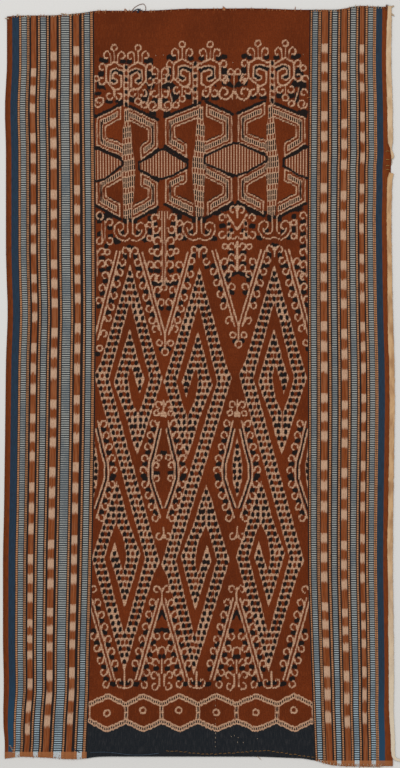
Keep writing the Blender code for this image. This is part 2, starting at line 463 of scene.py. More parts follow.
# %% The dotted lozenges' outline
LOZENGES = ((130.0, 1, 0.0), (199.5, -1, 2.5), (274.3, 1, -0.8))
LOZENGE_TOP_ROW = 264
LOZENGE_TURN_ROW = 468.5
LEAN = -0.014
BACKBONE = [(0, 264), (4, 282), (0.5, 303), (-19, 379), (34.3, 562), (0, 633), (0, 672), (-0.5, 633),
            (20.3, 562), (-33, 379), (0, 264)]
RIGHT_LIMB = [(0.5, 303), (-4, 282), (0, 264), (34.5, 379), (21.5, 420), (15.7, 440), (9.9, 456), (9.5, 456),
              (10.5, 413), (15.2, 400), (21, 379)]
LEFT_TAIL = [(0.8, 328), (-6, 350), (-15, 383), (-1, 420), (4.2, 440), (9.9, 456), (10, 413), (3.6, 400),
             (1.6, 390), (0, 378), (1.9, 367), (11.5, 366)]
HOOK_TAIL = [(0, 345), (3.9, 340), (6.5, 350), (9.7, 360), (13, 370), (16.5, 378.5), (11.5, 396), (8, 384),
             (1.9, 364)]


def lozenge_outlines(middle, side, drop):
    """The closed outlines that together make one lozenge."""
    turn = LOZENGE_TURN_ROW + drop
    outlines = []
    for outline in (BACKBONE, RIGHT_LIMB, LEFT_TAIL, HOOK_TAIL):
        points = np.asarray(outline, float) + (0, drop)
        for turned in (False, True):
            placed = points.copy()
            if turned:
                placed = np.stack([-placed[:, 0], 2 * turn - placed[:, 1]], axis=1)
            placed[:, 0] = middle + side * placed[:, 0] + LEAN * (placed[:, 1] - LOZENGE_TOP_ROW)
            outlines.append(placed)
    return outlines


print("outlines in a lozenge:", len(lozenge_outlines(*LOZENGES[0])))

# %% [markdown]
# The dots stand in rows, dark and red by turns, and a row has as many as fit between the outline's sides.
# We walk down each lozenge row by row, find the stretches that are inside, and fill each from both ends.

# %% The dots
DOT_ROW_PITCH = 6.35
DOT_PITCH = 4.0
DOT_MARGIN = 2.5
DARK_DOT = (1.6, 2.3)
RED_DOT = (1.4, 2.1)


def stretches_inside(outlines, row):
    """The stretches of a chart row that lie inside any of the outlines, above and below the row too."""
    squares = np.arange(80, 325, 0.25)
    inside = np.ones(squares.shape, bool)
    for nudge in (-1.3, 1.3):
        level = np.full(squares.shape, row + nudge)
        inside &= np.any([inside_area(squares, level, points) for points in outlines], axis=0)
    ends = np.flatnonzero(np.diff(np.concatenate([[0], inside.astype(int), [0]])))
    return [(squares[a], squares[b - 1]) for a, b in zip(ends[::2], ends[1::2])]


def dot_lozenge(outlines):
    """Fills a lozenge with rows of dots."""
    top = min(points[:, 1].min() for points in outlines)
    bottom = max(points[:, 1].max() for points in outlines)
    dots = 0
    for row in np.arange(top + 10, bottom - 8, DOT_ROW_PITCH):
        for left, right in stretches_inside(outlines, row):
            room = right - left - 2 * DOT_MARGIN
            if room < -2.0:
                continue
            count = max(int(round(room / DOT_PITCH)) + 1, 1)
            for i in range(count):
                x = (left + right) / 2 if count == 1 else left + DOT_MARGIN + room * i / (count - 1)
                dark = i in (0, count - 1) or i % 2 == 0 and count % 2 == 1
                if dark:
                    spot(x, row, *DARK_DOT, "navy")
                else:
                    spot(x, row, *RED_DOT, "brown")
                dots += 1
    return dots


for middle, side, drop in LOZENGES:
    outlines = lozenge_outlines(middle, side, drop)
    for points in outlines:
        area(points)
    print("dots in the lozenge at", middle, ":", dot_lozenge(outlines))

# %% [markdown]
# Between the lozenges stand tall V figures, upside-down V figures and pointed lenses. All are made of the
# same stuff: two cream lines side by side with hooks at even steps on both sides. The hooks curl over on
# the way down from the head and under on the way up from the foot, each with its dark crescent.

# %% Double lines with hooks
LINE_GAP = 3.7
HOOK_REACH = 5.4


def beside(points, away):
    """A path that runs beside another, so many squares to the right of it."""
    points = np.asarray(points, float)
    heading = np.gradient(points, axis=0)
    heading /= np.linalg.norm(heading, axis=1)[:, None]
    return points + np.stack([heading[:, 1], -heading[:, 0]], axis=1) * away


def at_row(points, row):
    """Where a path that runs down the chart crosses a row."""
    points = np.asarray(points, float)
    order = np.argsort(points[:, 1])
    return np.interp(row, points[order, 1], points[order, 0])


def double_line(points):
    """Two cream lines, one on each side of a path."""
    line(beside(points, LINE_GAP / 2))
    line(beside(points, -LINE_GAP / 2))


def hooks_beside(points, rows, side, over, reach=HOOK_REACH):
    """Hooks beside a path at given rows. side is -1 for left; over is 1 for hooks that curl over the top."""
    for row in rows:
        x = at_row(points, row) + side * reach
        hook(x, row, facing(side, 180 - 15 * over), side * over)
        crescent(x - side * 0.4, row + over * 5.2, 20 * side * over)


def rows_from(first, last, pitch):
    """Rows at even steps."""
    return np.arange(first, last + 0.1, pitch)


print("hooks reach", HOOK_REACH + HOOK_RADIUS, "squares from their line")

# %% [markdown]
# The V figures hang from the row of hooked posts and their points stand between the lozenges. The outer
# two are cut in half by the borders, so only the leg that shows is drawn.

# %% The V figures
V_FIGURES = (
    (94.0, 343, 251, (1,)), (165.0, 338, 253, (-1, 1)), (238.5, 330, 250, (-1, 1)), (311.5, 338, 250, (-1,)),
)
V_HALF_TOP = 24.5
V_HALF_FOOT = 2.0


def v_figure(middle, foot, top, sides):
    """Two leaning double lines with hooks, which meet in a point."""
    for half in halves(middle, foot, sides):
        leg = half.path([(V_HALF_TOP, top - foot), (V_HALF_FOOT, -4)])
        double_line(leg)
        hooks_beside(leg, rows_from(top + 21, foot - 18, 11.4), half.side, -1, HOOK_REACH + 1.6)
        hooks_beside(leg, rows_from(top + 12, foot - 32, 12.6), -half.side, 1, HOOK_REACH + 1.6)
        half.hook(10, -9, stalk=170)
        half.ring(5.6, 5, 2.9)
        half.crescent(3.4, 11)


for middle, foot, top, sides in V_FIGURES:
    v_figure(middle, foot, top, sides)
    if len(sides) == 2:
        upright(middle, foot - 6, foot + 9)
        ring(middle, foot + 14, 3.4)
print("V figures:", len(V_FIGURES))

# %% [markdown]
# Between the feet of the lozenges the same legs stand the other way up, as peaks with a stem on top.
# Under the two whole peaks there is a small heart on a forked stem.

# %% The upside-down V figures
PEAKS = ((88.5, (1,)), (161.8, (-1, 1)), (236.5, (-1, 1)), (309.8, (-1,)))
PEAK_ROW, PEAK_FOOT = 599, 680
PEAK_HALF = 24.5


def peak_figure(middle, sides):
    """Two double lines with hooks, which spread from a peak."""
    for half in halves(middle, PEAK_ROW, sides):
        leg = half.path([(1.6, 0), (PEAK_HALF, PEAK_FOOT - PEAK_ROW)])
        double_line(leg)
        hooks_beside(leg, rows_from(PEAK_ROW + 4, PEAK_FOOT - 6, 12.2), half.side, 1, HOOK_REACH + 1.4)
        hooks_beside(leg, rows_from(PEAK_ROW + 37, PEAK_FOOT + 4, 12.0), -half.side, -1, HOOK_REACH + 1.8)
        half.hook(5.0, -9.5)
    upright(middle, PEAK_ROW - 11, PEAK_ROW)
    if len(sides) == 2:
        line([(middle - 4, 619), (middle, 611), (middle + 4, 619)], 2.4, "under")


def peak_heart(middle):
    """The small figure under an upside-down V."""
    line(np.vstack([[(middle - 4, 656)], arc(middle, 651, 3.8, 180, 180), [(middle + 4, 656)]]))
    for x in (middle - 2.1, middle + 2.1):
        spot(x, 656.6, 1.7, 2.2, "navy")
    upright(middle, 660, 673)
    for x in (middle - 2.3, middle + 2.3):
        upright(x, 674, 686)
    for half in halves(middle, 0):
        half.hook(6.3, 663)
        half.crescent(5.6, 668.5)
        half.hook(7.8, 675.5)
        half.hook(6.8, 686, -1)


for middle, sides in PEAKS:
    peak_figure(middle, sides)
    if len(sides) == 2:
        peak_heart(middle)
line([(PEAKS[1][0] - 5, 632), (PEAKS[1][0], 629), (PEAKS[1][0] + 5, 632)], 3.0, "under")
print("upside-down V figures:", len(PEAKS))

# %% [markdown]
# Under the lowest point of each field of dots stands a stem that ends in two hooks, with dark dye inside
# and outside their curls, so that the point seems to rest on an anchor.

# %% The double hooks under the dots
DOUBLE_HOOKS = (124.5, 196.5, 271.5)
DOUBLE_HOOK_ROW = 687.5
DOUBLE_HOOK_HALF = ((0, 0), (4, 0.4), (7, -1.2), (8.4, -4.6), (7.4, -8), (4.8, -8.4), (3.8, -6))


def double_hook(middle, row):
    """Two hooks that curl up beside one stem."""
    for half in halves(middle, row, (1, -1)):
        half.crescent(2.8, -4.6, 1.0)
        half.crescent(11.4, -3.4, 2.6)
        half.line(DOUBLE_HOOK_HALF, 1.8)
    upright(middle, row - 16, row, 2.2)


for middle in DOUBLE_HOOKS:
    double_hook(middle, DOUBLE_HOOK_ROW)
print("double hooks:", len(DOUBLE_HOOKS))

# %% [markdown]
# Half way down, where the lozenges draw in, pointed lenses fill the gaps between them. A lens is a double
# line with hooks all round. Most hold a narrow field of dots, and one holds hooks and rings instead.

# %% The pointed lenses
LENSES = ((93.3, (1,), True), (163.6, (-1, 1), False), (237.2, (-1, 1), True), (310.4, (-1,), True))
LENS_SIDE = ((4.5, 421), (10, 445), (14.5, 462), (15.2, 471), (14.8, 480), (10.5, 494), (3, 518))
LENS_LINING = ((2.5, 429), (7, 449), (11, 464), (11.3, 478), (7.3, 491), (1.3, 508))
LENS_HEART = ((0, 436), (3.4, 450), (5.6, 466), (4.8, 480), (2.2, 492), (0, 499))


def pointed_lens(middle, sides, dotted):
    """A lens of double lines with hooks outside, and dots inside if it is a dotted one."""
    for half in halves(middle, 0, sides):
        outer, inner = half.path(LENS_SIDE), half.path(LENS_LINING)
        line(beside(inner, half.side * 1.4), 1.6, "under")
        line(outer)
        line(inner)
        hooks_beside(outer, rows_from(424, 474, 11.6), half.side, 1)
        hooks_beside(outer, rows_from(484, 528, 11.2), half.side, -1)
    if dotted:
        heart = np.vstack([shifted(LENS_HEART, middle, 0, -1), shifted(LENS_HEART[::-1], middle, 0, 1)])
        area(heart)
        line(np.vstack([heart, heart[:1]]), 1.2, "streaks")
        print("dots in the lens at", middle, ":", dot_lozenge([heart]))
    if len(sides) == 2:
        for half in halves(middle, 0):
            half.hook(5, 405)
            half.ring(7.2, 413)
            half.hook(4.6, 536, -1)
        upright(middle, 400, 411)
        upright(middle, 527, 538)
        area(shifted([(-3, 411), (3, 411), (3.4, 417), (-3.4, 417)], middle, 0))


def lens_hooks_inside(middle):
    """Hooks inside the lens that has no dots."""
    for half in halves(middle, 0):
        half.ring(4.5, 457.5)
        half.hook(7.5, 465.5, -1, 2.9, stalk=0)
        half.dark(7.2, 473, 2.9, 2.0)
        half.hook(6.8, 478.5, -1, 2.9, stalk=0)
    spot(middle, 453, 3.2, 1.9, "under")


for middle, sides, dotted in LENSES:
    pointed_lens(middle, sides, dotted)
lens_hooks_inside(LENSES[1][0])
print("pointed lenses:", len(LENSES))

# %% [markdown]
# The widest band has three great figures, each with four bent arms that grow from a striped body. An arm
# is a strip with a cream edge, a brown line inside it and a dashed core, so all its bands follow from one
# number, the depth inside the strip's outline. The second figure is the first one mirrored.

# %% One bent arm
ARM_WIDTH = 12.3
ARM_WIDTH_UPRIGHT = 10.4
ARM_EDGE = 1.75
ARM_CORE = 3.3
ARM_DASHES = 4.4


def crossing(a, b, c, d):
    """Where the line through a and b meets the line through c and d."""
    ab, cd = b - a, d - c
    share = ((c[0] - a[0]) * cd[1] - (c[1] - a[1]) * cd[0]) / (ab[0] * cd[1] - ab[1] * cd[0])
    return a + ab * share


def arm(points, free_first, side):
    """A bent arm from its outer path. side is -1 for an arm that bends out to the left."""
    outer = np.asarray(points, float)
    offset = []
    for a, b in zip(outer[:-1], outer[1:]):
        along = (b - a) / np.linalg.norm(b - a)
        normal = np.array([along[1], -along[0]])
        if normal[0] * side > 0:
            normal = -normal
        width = ARM_WIDTH_UPRIGHT if abs(along[0]) < 0.1 else ARM_WIDTH
        offset.append((a + normal * width, b + normal * width))
    up = np.array([0.0, 1.0])
    inner = [crossing(*offset[0], outer[0], outer[0] + up)]
    for first, second in zip(offset[:-1], offset[1:]):
        inner.append(crossing(*first, *second))
    inner.append(crossing(*offset[-1], outer[-1], outer[-1] + up))
    inner = np.array(inner)
    if free_first:
        outer, inner = outer[::-1], inner[::-1]
    border = np.vstack([outer, inner[::-1]])
    middle_row = border[:, 1].mean()
    for a, b in ((outer[0], outer[1]), (outer[2], outer[3])):
        away = (0, -1.4) if a[1] + b[1] < middle_row * 2 else (0, 1.4)
        line([a + away, b + away], 2.6, "under")
    band_arm(border)
    line([(outer[1] + inner[1]) / 2, (outer[2] + inner[2]) / 2], 1.3, "navy")
    for a, b in ((inner[0], inner[1]), (inner[2], inner[3])):
        lining = np.array([a + (b - a) * 0.2, a + (b - a) * 0.85])
        line(lining - (0, 1.0) if lining[:, 1].mean() < middle_row else lining, 1.0, "under")


def band_arm(border):
    """Lays an arm's bands by the depth inside its border."""
    window = window_round(border.min(0), border.max(0))
    x, y = grid_square[window], read_row[window]
    depth = distance_to_path(x, y, border)
    depth = np.where(inside_area(x, y, border), depth, -depth)
    lay(window, np.where(depth > 0, -depth, FAR), "brown")
    lay(window, np.abs(depth - ARM_EDGE / 2) - ARM_EDGE / 2, "cream")
    lay(window, ARM_CORE - depth, "cream")
    lay(window, ARM_DASHES - depth, "dashes")


print("an arm is", ARM_WIDTH, "squares wide")

# %% [markdown]
# The body between the arms is a tall strip, crossed by short slanting bands: two of dashes and then one
# of stripes. The arms are drawn first, and the body is laid over their roots.

# %% The great figures
GREAT_FIGURES = ((130.0, 1, 2.6, 34.0, 28.0), (197.3, -1, 0.0, 35.2, 32.3), (273.8, 1, -0.9, 36.3, 32.0))
BODY_LEFT = (
    (-6, 106), (-6, 122), (-7.6, 126), (-7.4, 145), (-8.4, 160), (-8.4, 172), (-7.2, 185), (-6.6, 216),
)
BODY_RIGHT = ((-2, 106), (1.0, 125), (2.4, 145), (5.0, 160), (5.6, 171), (4.4, 185), (1.8, 216))
BODY_BAND = 5.5
BODY_BAND_TALL = 4.3
BODY_SLANT = 2.2


def great_figure(middle, side, drop, reach_in, reach_out):
    """Four bent arms and the banded body that they grow from."""
    arms = (
        (((-8.5, 102.8), (-reach_in, 115.5), (-reach_in, 143), (-7, 154.8)), True, -1),
        (((-3, 104), (reach_out, 118.5), (reach_out, 145), (10, 158.5)), False, 1),
        (((-8, 163), (-reach_in, 178), (-reach_in, 201.5), (-9.5, 215.5)), False, -1),
        (((10, 168.5), (reach_out, 179.5), (reach_out, 203), (3.5, 217)), True, 1),
    )
    for points, free_first, out in arms:
        arm(shifted(points, middle, drop, side), free_first, out * side)
    area(shifted(BODY_LEFT + BODY_RIGHT[::-1], middle, drop, side))
    for band, top in enumerate(np.arange(107.5, 213, BODY_BAND)):
        corners_of_band = []
        for table, low in ((BODY_LEFT, BODY_SLANT), (BODY_RIGHT, 0.0)):
            edge = at_row(shifted(table, middle, drop, side), top + drop + low)
            corners_of_band += [(edge, top + drop + low), (edge, top + drop + low + BODY_BAND_TALL)]
        upper_left, lower_left, upper_right, lower_right = corners_of_band
        kind = "streaks" if band % 3 == 2 else "dashes"
        area([upper_left, upper_right, lower_right, lower_left], kind, 0.1)
    line([(middle - 5 * side, 218 + drop), (middle + 1 * side, 218 + drop)], 3.4, "under")


for place in GREAT_FIGURES:
    great_figure(*place)
print("great figures:", len(GREAT_FIGURES))

# %% [markdown]
# Between the great figures, and half behind the borders, lie small lenses of fine brown and cream stripes
# with a navy outline.

# %% The striped lenses between them
STRIPED_LENSES = ((139.0, 162.0, 187.5, 149.5, 165, 179), (204.5, 236.0, 267.0, 143.0, 159, 175.5),
                  (70.0, 96.0, 122.5, 149.0, 163, 181.5), (284.0, 309.0, 334.0, 147.0, 162, 178.5))
LENS_OUTLINE = 2.0

for left, middle, right, top, row, foot in STRIPED_LENSES:
    lens = [
        (left, row - 3), (left + 11, row - 8), (middle - 2, top), (middle + 2, top), (right - 11, row - 8),
        (right, row - 2), (right, row + 2), (middle + 10, foot - 3), (middle, foot), (middle - 10, foot - 3),
        (left, row + 4),
    ]
    area(lens)
    area(lens, "streaks", 1.0)
    line(lens + lens[:1], LENS_OUTLINE, "navy")
print("striped lenses:", len(STRIPED_LENSES))

# %% [markdown]
# Round the spirals at the head the dyer laid much navy, so that they stand out. We lay it first, as a few
# large patches between the posts. Small clearings take some of it away again, and each ring and hook
# later clears its own inside.

# %% The dark ground at the head
DARK_GROUND = (
    ((97, 78), (103, 84), (106, 90), (97, 88)),
    ((144, 82), (149, 62), (153, 62), (154, 80), (150, 88)),
    ((160, 88), (166, 80), (166, 62), (170, 62), (172, 82), (178, 88)),
    ((214, 86), (221, 80), (222, 66), (226, 66), (228, 80), (234, 86), (240, 80), (243, 66), (246, 66),
     (247, 80), (254, 86), (246, 88), (234, 87), (222, 88)),
    ((290, 87), (297, 74), (303, 72), (306, 84), (303, 94)),
)
CLEARINGS = (
    (137, 96, 5, 4), (147, 98, 4, 6), (168, 92, 2, 8), (174, 98, 4, 4), (208, 97, 5, 4), (219, 84, 3, 5),
    (250, 86, 3, 5), (262, 97, 5, 4), (284, 95, 4, 4), (297, 92, 3, 6), (110, 92, 4, 2), (152, 90, 2, 6),
)
for patch in DARK_GROUND:
    area(patch, "under")
for patch in CLEARINGS:
    spot(*patch, "clear")
print("dark patches:", len(DARK_GROUND))

# %% [markdown]
# Above the great figures stands a row of paired spirals on dotted posts. Each spiral is a double line
# that runs round a hexagon and turns in on itself, with rings and hooks on top and below. The chart holds
# one spiral, which is mirrored for the other side of the post and stretched to each post's reach.

# %% The spirals on posts
POSTS = ((126.2, 62.0, 20.0, 19.8, "pair", "ring"), (195.2, 59.0, 21.7, 24.8, "ring", "pair"),
         (272.3, 58.0, 23.8, 21.7, "pair", "ring"))
SPIRAL_REACH = 20.0
SPIRAL_OUTER = ((2, 5.5), (12, 0), (19, 4), (20, 7.5), (20, 19), (13, 26.5), (9, 28), (5, 24.5), (5, 13.5),
                (11, 10.3), (13.3, 12), (13.3, 16), (10, 17.5))
SPIRAL_INNER = ((2, 9.4), (10, 6.2), (15.6, 8), (16.2, 19.2), (12, 22.3), (9, 20.5), (9, 18))
SPIRAL_GAP = ((3, 10), (10, 7), (15.5, 8.7), (15.8, 19), (12, 21.6), (9.5, 20), (10, 17.6), (13.5, 16.5),
              (13.5, 12), (11, 10), (4.6, 13.2))
POST_CELLS = 7
POST_CELL_PITCH = 6.25


def stretched(points, x, y, stretch, side):
    """Points of a motif, stretched across, moved to a place and mirrored if side is -1."""
    return shifted(np.asarray(points, float) * (stretch, 1), x, y, side)


def spiral(x, y, reach, side, foot):
    """One spiral beside a post, with the rings and hooks round it."""
    stretch = reach / SPIRAL_REACH
    area(stretched(SPIRAL_OUTER[:8], x, y, stretch, side), "clear")
    area(stretched(SPIRAL_GAP, x, y, stretch, side), "under", 0.5)
    line(stretched(SPIRAL_OUTER, x, y, stretch, side), 2.1)
    line(stretched(SPIRAL_INNER, x, y, stretch, side), 1.9)
    peak = x + side * 12 * stretch
    upright(peak, y, y - 11.5, 1.6)
    ring(peak, y - 14.5, 3.0)
    for half in halves(peak, y):
        half.line([(3.6, 1.5), (3.6, -6)], 1.5)
        half.hook(7.3, -6.2, 1, 3.6)
        half.dark(8.6, -0.6, 2.6, 1.9)
    edge = Half(x + side * reach, y, side)
    edge.hook(4.0, 5.5, stalk=190)
    edge.hook(4.2, 19.0, -1, 3.5, stalk=165)
    edge.dark(4.0, -2.0, 2.7, 2.2)
    edge.dark(5.0, 12.0, 2.6, 2.6)
    if foot == "pair":
        upright(peak, y + 27, y + 33, 2.6)
        for half in halves(peak, y):
            half.hook(4.6, 33.8, -1, stalk=165)
            half.dark(5.0, 39.3, 3.4, 1.8)
    else:
        upright(peak, y + 27, y + 36, 1.2)
        ring(peak, y + 39.6, 3.1)
        for half in halves(peak, y):
            half.hook(5.8, 31.0, -1, stalk=165)
            half.dark(6.0, 37.5, 3.0, 2.6)


def post(x, y):
    """The dotted post between two spirals."""
    area([(x - 2.9, y + 2), (x + 2.9, y + 2), (x + 2.9, y + 45), (x - 2.9, y + 45)])
    for cell in range(POST_CELLS):
        row = y + 5 + cell * POST_CELL_PITCH
        spot(x, row, 1.45, 2.1, "brown" if cell % 2 else "navy")


for x, y, reach_left, reach_right, foot_left, foot_right in POSTS:
    spiral(x, y, reach_left, -1, foot_left)
    spiral(x, y, reach_right, 1, foot_right)
    post(x, y)
print("spirals:", 2 * len(POSTS))

# %% [markdown]
# Between the posts hang two figures of spirals and rods. They are small and each is its own chart, made
# from the same pens.

# %% The figures between the posts
def spiral_curl(x, y, radius, start, turn, sweep=430, shrink=0.62, width=1.8):
    """A curl that winds in more than once."""
    angles = np.radians(start + turn * np.linspace(0, sweep, 17))
    radii = radius * (1 - shrink * np.linspace(0, 1, 17))
    line(np.stack([x + radii * np.cos(angles), y + radii * np.sin(angles) * 1.1], axis=1), width)


def rod_figure(x, y):
    """T hooks on a stem, two slanting rods with rings, and two spirals at its foot."""
    for half in halves(x, y):
        half.hook(5.2, 1.6, 1, 3.5)
        half.dark(7.5, 7.2, 2.6, 3.2)
        half.line([(1.8, 0), (1.8, 12)], 1.4)
        half.ring(3.4, 10.8, 2.6, 1.5)
        half.hook(5.6, 23.5, -1, 3.2, stalk=165)
        half.dark(9.0, 16.5, 3.4, 2.4)
        half.line([(8.4, 17), (13.2, 35)], 1.6)
        half.ring(15.8, 35.2, 3.0)
        half.dark(13.5, 26, 2.2, 6.0)
        half.dark(5.0, 30.5, 3.0, 2.4)
        spiral_curl(*half.at(7.2, 35.5), 5.4, facing(half.side, 150), -half.side)
        area(half.path([(4, 41.5), (10, 41), (11, 44), (4, 46)]), "under")
    for stem in (x - 1.4, x + 1.4):
        upright(stem, y + 14, y + 28, 1.2)
    area(shifted([(-2.2, 28), (2.2, 28), (2.4, 38), (-2.4, 38)], x, y))
    line(np.vstack([[(x - 6, y + 40.5)], arc(x, y + 44, 5.4, 215, 110), [(x + 6, y + 40.5)]]), 1.7)


def twin_spiral_figure(x, y):
    """Twin rings on a stem that ends in two wide spirals."""
    for half in halves(x, y):
        half.ring(3.6, 0, 2.9)
        half.dark(6.5, 6.0, 2.8, 2.6)
        half.line([(1.6, 18), (1.9, 27)], 1.4)
        spot(*half.at(9.8, 20.5), 7.0, 7.0, "clear")
        spiral_curl(*half.at(9.8, 20.5), 7.2, facing(half.side, 150), -half.side, 410, 0.72, 2.2)
        half.line([(0, 19), (3.4, 24)], 2.0)
        half.hook(8.5, 9.0, 1, 3.0)
    upright(x, y + 3, y + 18, 1.5)


BETWEEN_POSTS = ((rod_figure, 160.0, 70.0), (twin_spiral_figure, 234.3, 72.0))
for figure, x, y in BETWEEN_POSTS:
    figure(x, y)
print("figures between the posts:", len(BETWEEN_POSTS))

# %% [markdown]
# At the middle's two edges the borders cut such figures off. What shows of them is drawn line by line.

# %% The figures cut off by the borders
EDGE_VOLUTE = (
    (94.3, 80), (93.3, 104), (98, 107.5), (103.2, 104), (103.2, 99), (99, 96.8), (96, 99), (96.6, 102.2),
    (100, 102.6),
)
EDGE_PATCHES = ((298, 73, 3, 4), (302, 86, 4, 2.4), (297, 97, 2, 5), (303, 112, 5, 2.2), (95, 116, 4, 1.6))

line(EDGE_VOLUTE)
ring(96.4, 78.5, 2.5)
spot(98, 93.5, 3.0, 1.6, "under")
ring(303.2, 68, 2.9)
hook(305.2, 79, 0, -1)
hook(304, 92.5, 0, -1)
line([(299, 87), (294.2, 104)], 1.6)
ring(291.4, 103.4, 2.8)
spiral_curl(302, 103.5, 5.2, 0, 1)
for patch in EDGE_PATCHES:
    spot(*patch, "under")
print("dark patches at the edges:", len(EDGE_PATCHES))

# %% [markdown]
# Below the great figures the weaver set their feet: a pair of lines that opens into two volutes. Rods
# with rings and two tall stems stand between the feet, and small Y figures lead down to the tips of the
# lozenges.

# %% The feet and the rods
FEET = ((130.2, 220.0), (199.0, 219.0), (274.6, 218.0))
VOLUTE = (
    (0, 19), (6, 21.5), (12.5, 18.5), (16.2, 12), (15.4, 5.5), (11, 2.4), (7, 4.4), (6.2, 8.6), (9.2, 11),
)
VOLUTE_STALK = ((2.3, -2), (2.3, 13), (6, 16.6), (10.4, 14.4), (12, 9.6))
RODS = ((153.0, 221.0, -1), (176.3, 219.5, 1), (297.0, 219.0, -1))


def foot_of_figure(x, y):
    """Two volutes and, below them, a small Y figure with four hooks."""
    for half in halves(x, y):
        half.dark(8.6, 13.2, 2.6, 2.6)
        half.dark(5.0, 1.0, 2.0, 2.6)
        half.dark(15.0, 19.6, 3.0, 2.2)
        half.line(VOLUTE, 1.8)
        half.line(VOLUTE_STALK, 1.8)
    upright(x, y + 29, y + 38, 1.8)
    spot(x, y + 27.2, 3.4, 1.8, "under")
    for half in halves(x, y + 29):
        half.hook(4.9, 2.4)
        half.dark(5.2, 7.4, 1.9, 2.9)
        half.hook(7.4, 13.0, stalk=10)
        half.dark(8.0, 19.0, 2.4, 1.6)


def rod(x, y, side):
    """A rod with two rings on one side and a dark patch between them."""
    upright(x, y, y + 20, 1.6)
    half = Half(x, y, side)
    half.ring(3.4, 3.6, 2.7)
    half.ring(3.4, 17.2, 2.7)
    half.dark(3.2, 10.4, 1.8, 3.4)
    half.dark(3.0, -2.4, 2.2, 2.6)


for place in FEET:
    foot_of_figure(*place)
for place in RODS:
    rod(*place)
print("feet:", len(FEET), "rods:", len(RODS))

# %% [markdown]
# Two tall stems fill the gaps under the striped lenses. One has a striped cap, like a palm, and the other
# a small lattice. Both carry pairs of hooks down to the V figures.

# %% The tall stems
STEM_CAP = (
    (-5.6, 211), (5.6, 211), (5.6, 218), (2.8, 219), (2.8, 240), (-2.8, 240), (-2.8, 219), (-5.6, 218),
)
CAPPED_STEM_HOOKS = (
    (218, 9.2, 1), (229, 7.8, -1), (241, 7.0, 1), (252, 6.6, -1), (265, 6.2, 1), (278, 5.6, -1),
)


def capped_stem(x):
    """A striped cap on a stem with six pairs of hooks and a ring at its foot."""
    cap = shifted(STEM_CAP, x, 0)
    area(cap)
    area(cap, "streaks")
    for half in halves(x, 0):
        half.line([(1.6, 240), (1.3, 283)], 1.6)
    for row, reach, over in CAPPED_STEM_HOOKS:
        for half in halves(x, row):
            half.hook(reach, 0, over, 3.6)
            half.line([(2, over), (reach - 3, over)], 1.5)
            half.dark(reach + 0.5, 5.8, 3.0, 2.1)
    ring(x, 287.3, 2.9)
    for half in halves(x, 0):
        half.dark(2.6, 282.6, 1.6, 1.9)
        half.ring(12.4, 251)


def lattice_stem(x):
    """A stem with a lattice over it and hooks down both sides."""
    line([(x - 10, 214), (x, 230), (x + 10, 214)], 2.0)
    upright(x, 206, 218, 2.4)
    for half in halves(x, 0):
        half.hook(4.2, 210)
        half.hook(15.0, 218)
        half.line([(8.5, 222), (8.5, 238)], 4.4)
        for cell in range(3):
            spot(*half.at(8.5, 224 + cell * 5.6), 1.3, 1.9, "brown" if cell == 1 else "navy")
        half.hook(15.2, 234.5, -1, 3.4, stalk=165)
        half.hook(4.1, 235.5, -1, 3.2, stalk=165)
        half.dark(6.0, 230.5, 1.8, 2.0)
        half.dark(15.0, 226.0, 3.2, 2.2)
        for row in (247, 258, 269):
            half.hook(5.6, row)
            half.dark(6.0, row + 5.6, 2.9, 1.9)
        half.ring(12.2, 246.5)
    upright(x, 242, 271, 2.6)
    line([(x - 13, 277), (x, 272.5), (x + 13, 277)], 3.0, "under")
    line([(x - 14, 210), (x, 205), (x + 14, 210)], 3.4, "under")


capped_stem(164.0)
lattice_stem(237.2)
print("pairs of hooks on the capped stem:", len(CAPPED_STEM_HOOKS))

# %% [markdown]
# Along the middle's two edges run short stems with hooks on one side only, and at the left one a small
# figure that the border cuts in half. The last dark patches lie under the great figures.

# %% The hooks at the middle's edges
EDGE_STEMS = ((97.4, 250, 276, 1, 4.6), (307.0, 214, 278, -1, 4.0))
EDGE_STEM_PITCH = 12.2
LOWER_PATCHES = (
    (104, 217, 8, 3.4), (110, 227.5, 2.6, 2.2), (99.5, 221.5, 2.4, 1.8), (110.5, 236, 2.4, 2.0),
    (99.2, 234, 2.2, 2.2), (106.4, 245.8, 2.0, 2.4), (117.2, 242, 3.0, 2.0), (150, 211, 7, 2.6),
    (180, 211, 8, 2.6), (215, 213, 6, 2), (258, 213, 8, 2.2), (294, 209, 8, 2.4),
)

for x, top, foot, side, reach in EDGE_STEMS:
    upright(x, top, foot, 1.5)
    for row in np.arange(top + 2, foot, EDGE_STEM_PITCH):
        half = Half(x, row, side)
        half.hook(reach, 0)
        half.dark(reach, 6.0, 2.8, 1.9)
hook(99.4, 216, 60, -1, 3.8, 320)
line([(101.6, 223), (101.8, 240)], 1.5)
line([(105.0, 221), (105.2, 240)], 1.5)
hook(109.6, 222.5, 180, 1, 3.5)
hook(99.4, 240.5, -30, 1, 3.4)
hook(109.8, 240.5, 165, -1, 3.4)
ring(107.4, 252, 2.7)
for patch in LOWER_PATCHES:
    spot(*patch, "under")
print("dark patches lower down:", len(LOWER_PATCHES))

# %% [markdown]
# Now the chart becomes cloth. The grid's points lie on the cloth's upper face: a thin sheet with faint
# swells, thicker at the two hems, where it is turned under and sewn. Round the edge the sheet turns down
# to the floor, so that it has its thickness when it is seen from the side.

# %% The cloth's surface
THICKNESS = 0.0012
HEM_THICKNESS = 0.0024
HEM_ROWS = 7.0
SWELL = 0.0002
EDGE_ROWS = 1.2


def smooth(share):
    """0 to 1 with soft ends."""
    share = np.clip(share, 0, 1)
    return share * share * (3 - 2 * share)


